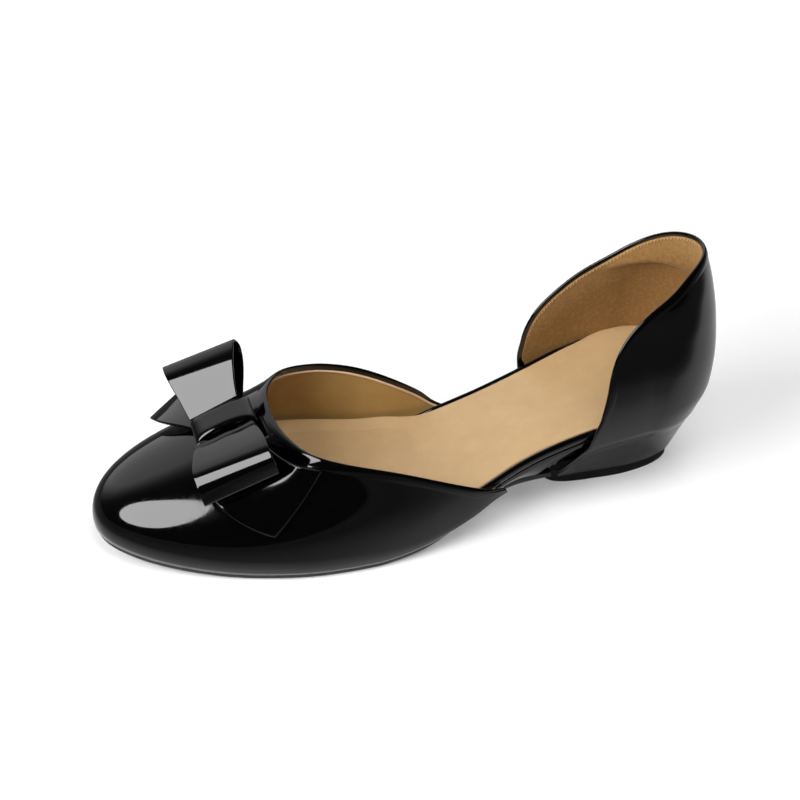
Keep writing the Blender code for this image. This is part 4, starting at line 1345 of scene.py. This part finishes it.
def make_dark_card():
    """Black card over the floor, seen only in the gloss, that keeps the sides of the shoe dark: painted
    shade in the reflections, with a painted contact shadow under the heel.
    """
    made = bpy.data.materials.new("dark card")
    made.use_nodes = True
    tree = made.node_tree
    tree.nodes.remove(tree.nodes["Principled BSDF"])
    around = combine(tree, "MAXIMUM", glow_patch(tree, *CARD_WAIST), glow_patch(tree, *CARD_FOREFOOT))
    # the heel patch darkens the card: painted contact shadow in the gloss under the heel
    clear = combine(tree, "MULTIPLY", around, glow_patch(tree, *CARD_HEEL_SHADOW))
    black_side = add_node(tree, "BsdfDiffuse", {"Color": (0, 0, 0, 1)})["BSDF"]
    clear_side = add_node(tree, "BsdfTransparent", {})["BSDF"]
    mix = add_node(tree, "MixShader", {"Fac": clear, 1: black_side, 2: clear_side})["Shader"]
    tree.links.new(mix, tree.nodes["Material Output"].inputs["Surface"])
    unseen = ("camera", "diffuse", "shadow", "transmission")
    card = studio_object("dark_card", FLOOR_CORNERS, [(0, 1, 2, 3)], made, unseen)
    card.location.z = CARD_HEIGHT


def bearing(turn, rise):
    """Direction from its angle round and above the floor in degrees."""
    turn = math.radians(turn)
    rise = math.radians(rise)
    return Vector((math.cos(rise) * math.cos(turn), math.cos(rise) * math.sin(turn), math.sin(rise)))


# Lights shine at a point from a distance in metres: shape, turn, rise, width, brightness, in gloss
LIT_POINT = (0.07, 0, 0.04)
LIGHT_DISTANCE = 1.2
LIGHTS = {
    "key": ("ELLIPSE", 22.5, 37, 0.98, 7.2, True),
    "fill": ("RECTANGLE", 125, 64, 0.8, 4.5, False),
}


def softbox(name, shape, turn, rise, wide, radiance, in_gloss):
    """Area light, as wide as it is high, that shines at the forefoot."""
    data = bpy.data.lights.new(name, "AREA")
    data.shape = shape
    data.size = wide
    data.size_y = wide
    area = wide * wide * (math.pi / 4 if shape == "ELLIPSE" else 1.0)
    data.energy = radiance * area * math.pi
    lamp = new_object(name, data)
    way = bearing(turn, rise)
    lamp.location = Vector(LIT_POINT) + way * LIGHT_DISTANCE
    lamp.rotation_euler = way.to_track_quat("Z", "Y").to_euler()
    lamp.visible_glossy = in_gloss


# Soft glow behind the shoe: its bearing, then brightness by the cosine of the angle from it
GLOW_BEARING = (-90, 28)
GLOW = ((0.26, 0.012), (0.559, 0.03), (0.643, 0.06), (0.725, 0.2), (0.788, 0.45), (0.839, 0.7))


def make_world():
    world = bpy.data.worlds.new("studio")
    world.use_nodes = True
    tree = world.node_tree
    inputs = {0: add_node(tree, "TexCoord", {})["Generated"], 1: bearing(*GLOW_BEARING)}
    toward = add_node(tree, "VectorMath", inputs, operation="DOT_PRODUCT")["Value"]
    tree.links.new(ramp_stops(tree, toward, GLOW), tree.nodes["Background"].inputs["Color"])
    bpy.context.scene.world = world


# Camera: place and axes
CAMERA_PLACE = (307.5, 741.5, 606)
CAMERA_RIGHT = (-0.97059, 0.24074, 0)
CAMERA_UP = (-0.14303, -0.57665, 0.80438)
CAMERA_BACK = (0.19365, 0.78072, 0.59412)


def make_camera():
    data = bpy.data.cameras.new("camera")
    data.sensor_width = 36
    data.lens = 114.92
    data.clip_start = 0.01
    camera = new_object("camera", data)
    turn = Matrix((CAMERA_RIGHT, CAMERA_UP, CAMERA_BACK)).transposed().to_4x4()
    camera.matrix_world = Matrix.Translation((np.array(CAMERA_PLACE) - ORIGIN) * MM) @ turn
    bpy.context.scene.camera = camera


make_outsole()
make_heel_lift()
make_heel_block()
make_footbed()
make_sock()
make_vamp()
make_quarter()
make_loop("bow_outer", 1, "bow_loop_outer")
make_loop("bow_inner", -1, "bow_loop_inner")
make_knot()
make_tails()
make_floor()
make_backdrop()
make_dark_card()
make_world()
for light, settings in LIGHTS.items():
    softbox(light, *settings)
make_camera()
bpy.context.scene.view_settings.view_transform = "Standard"

bpy.context.view_layer.update()
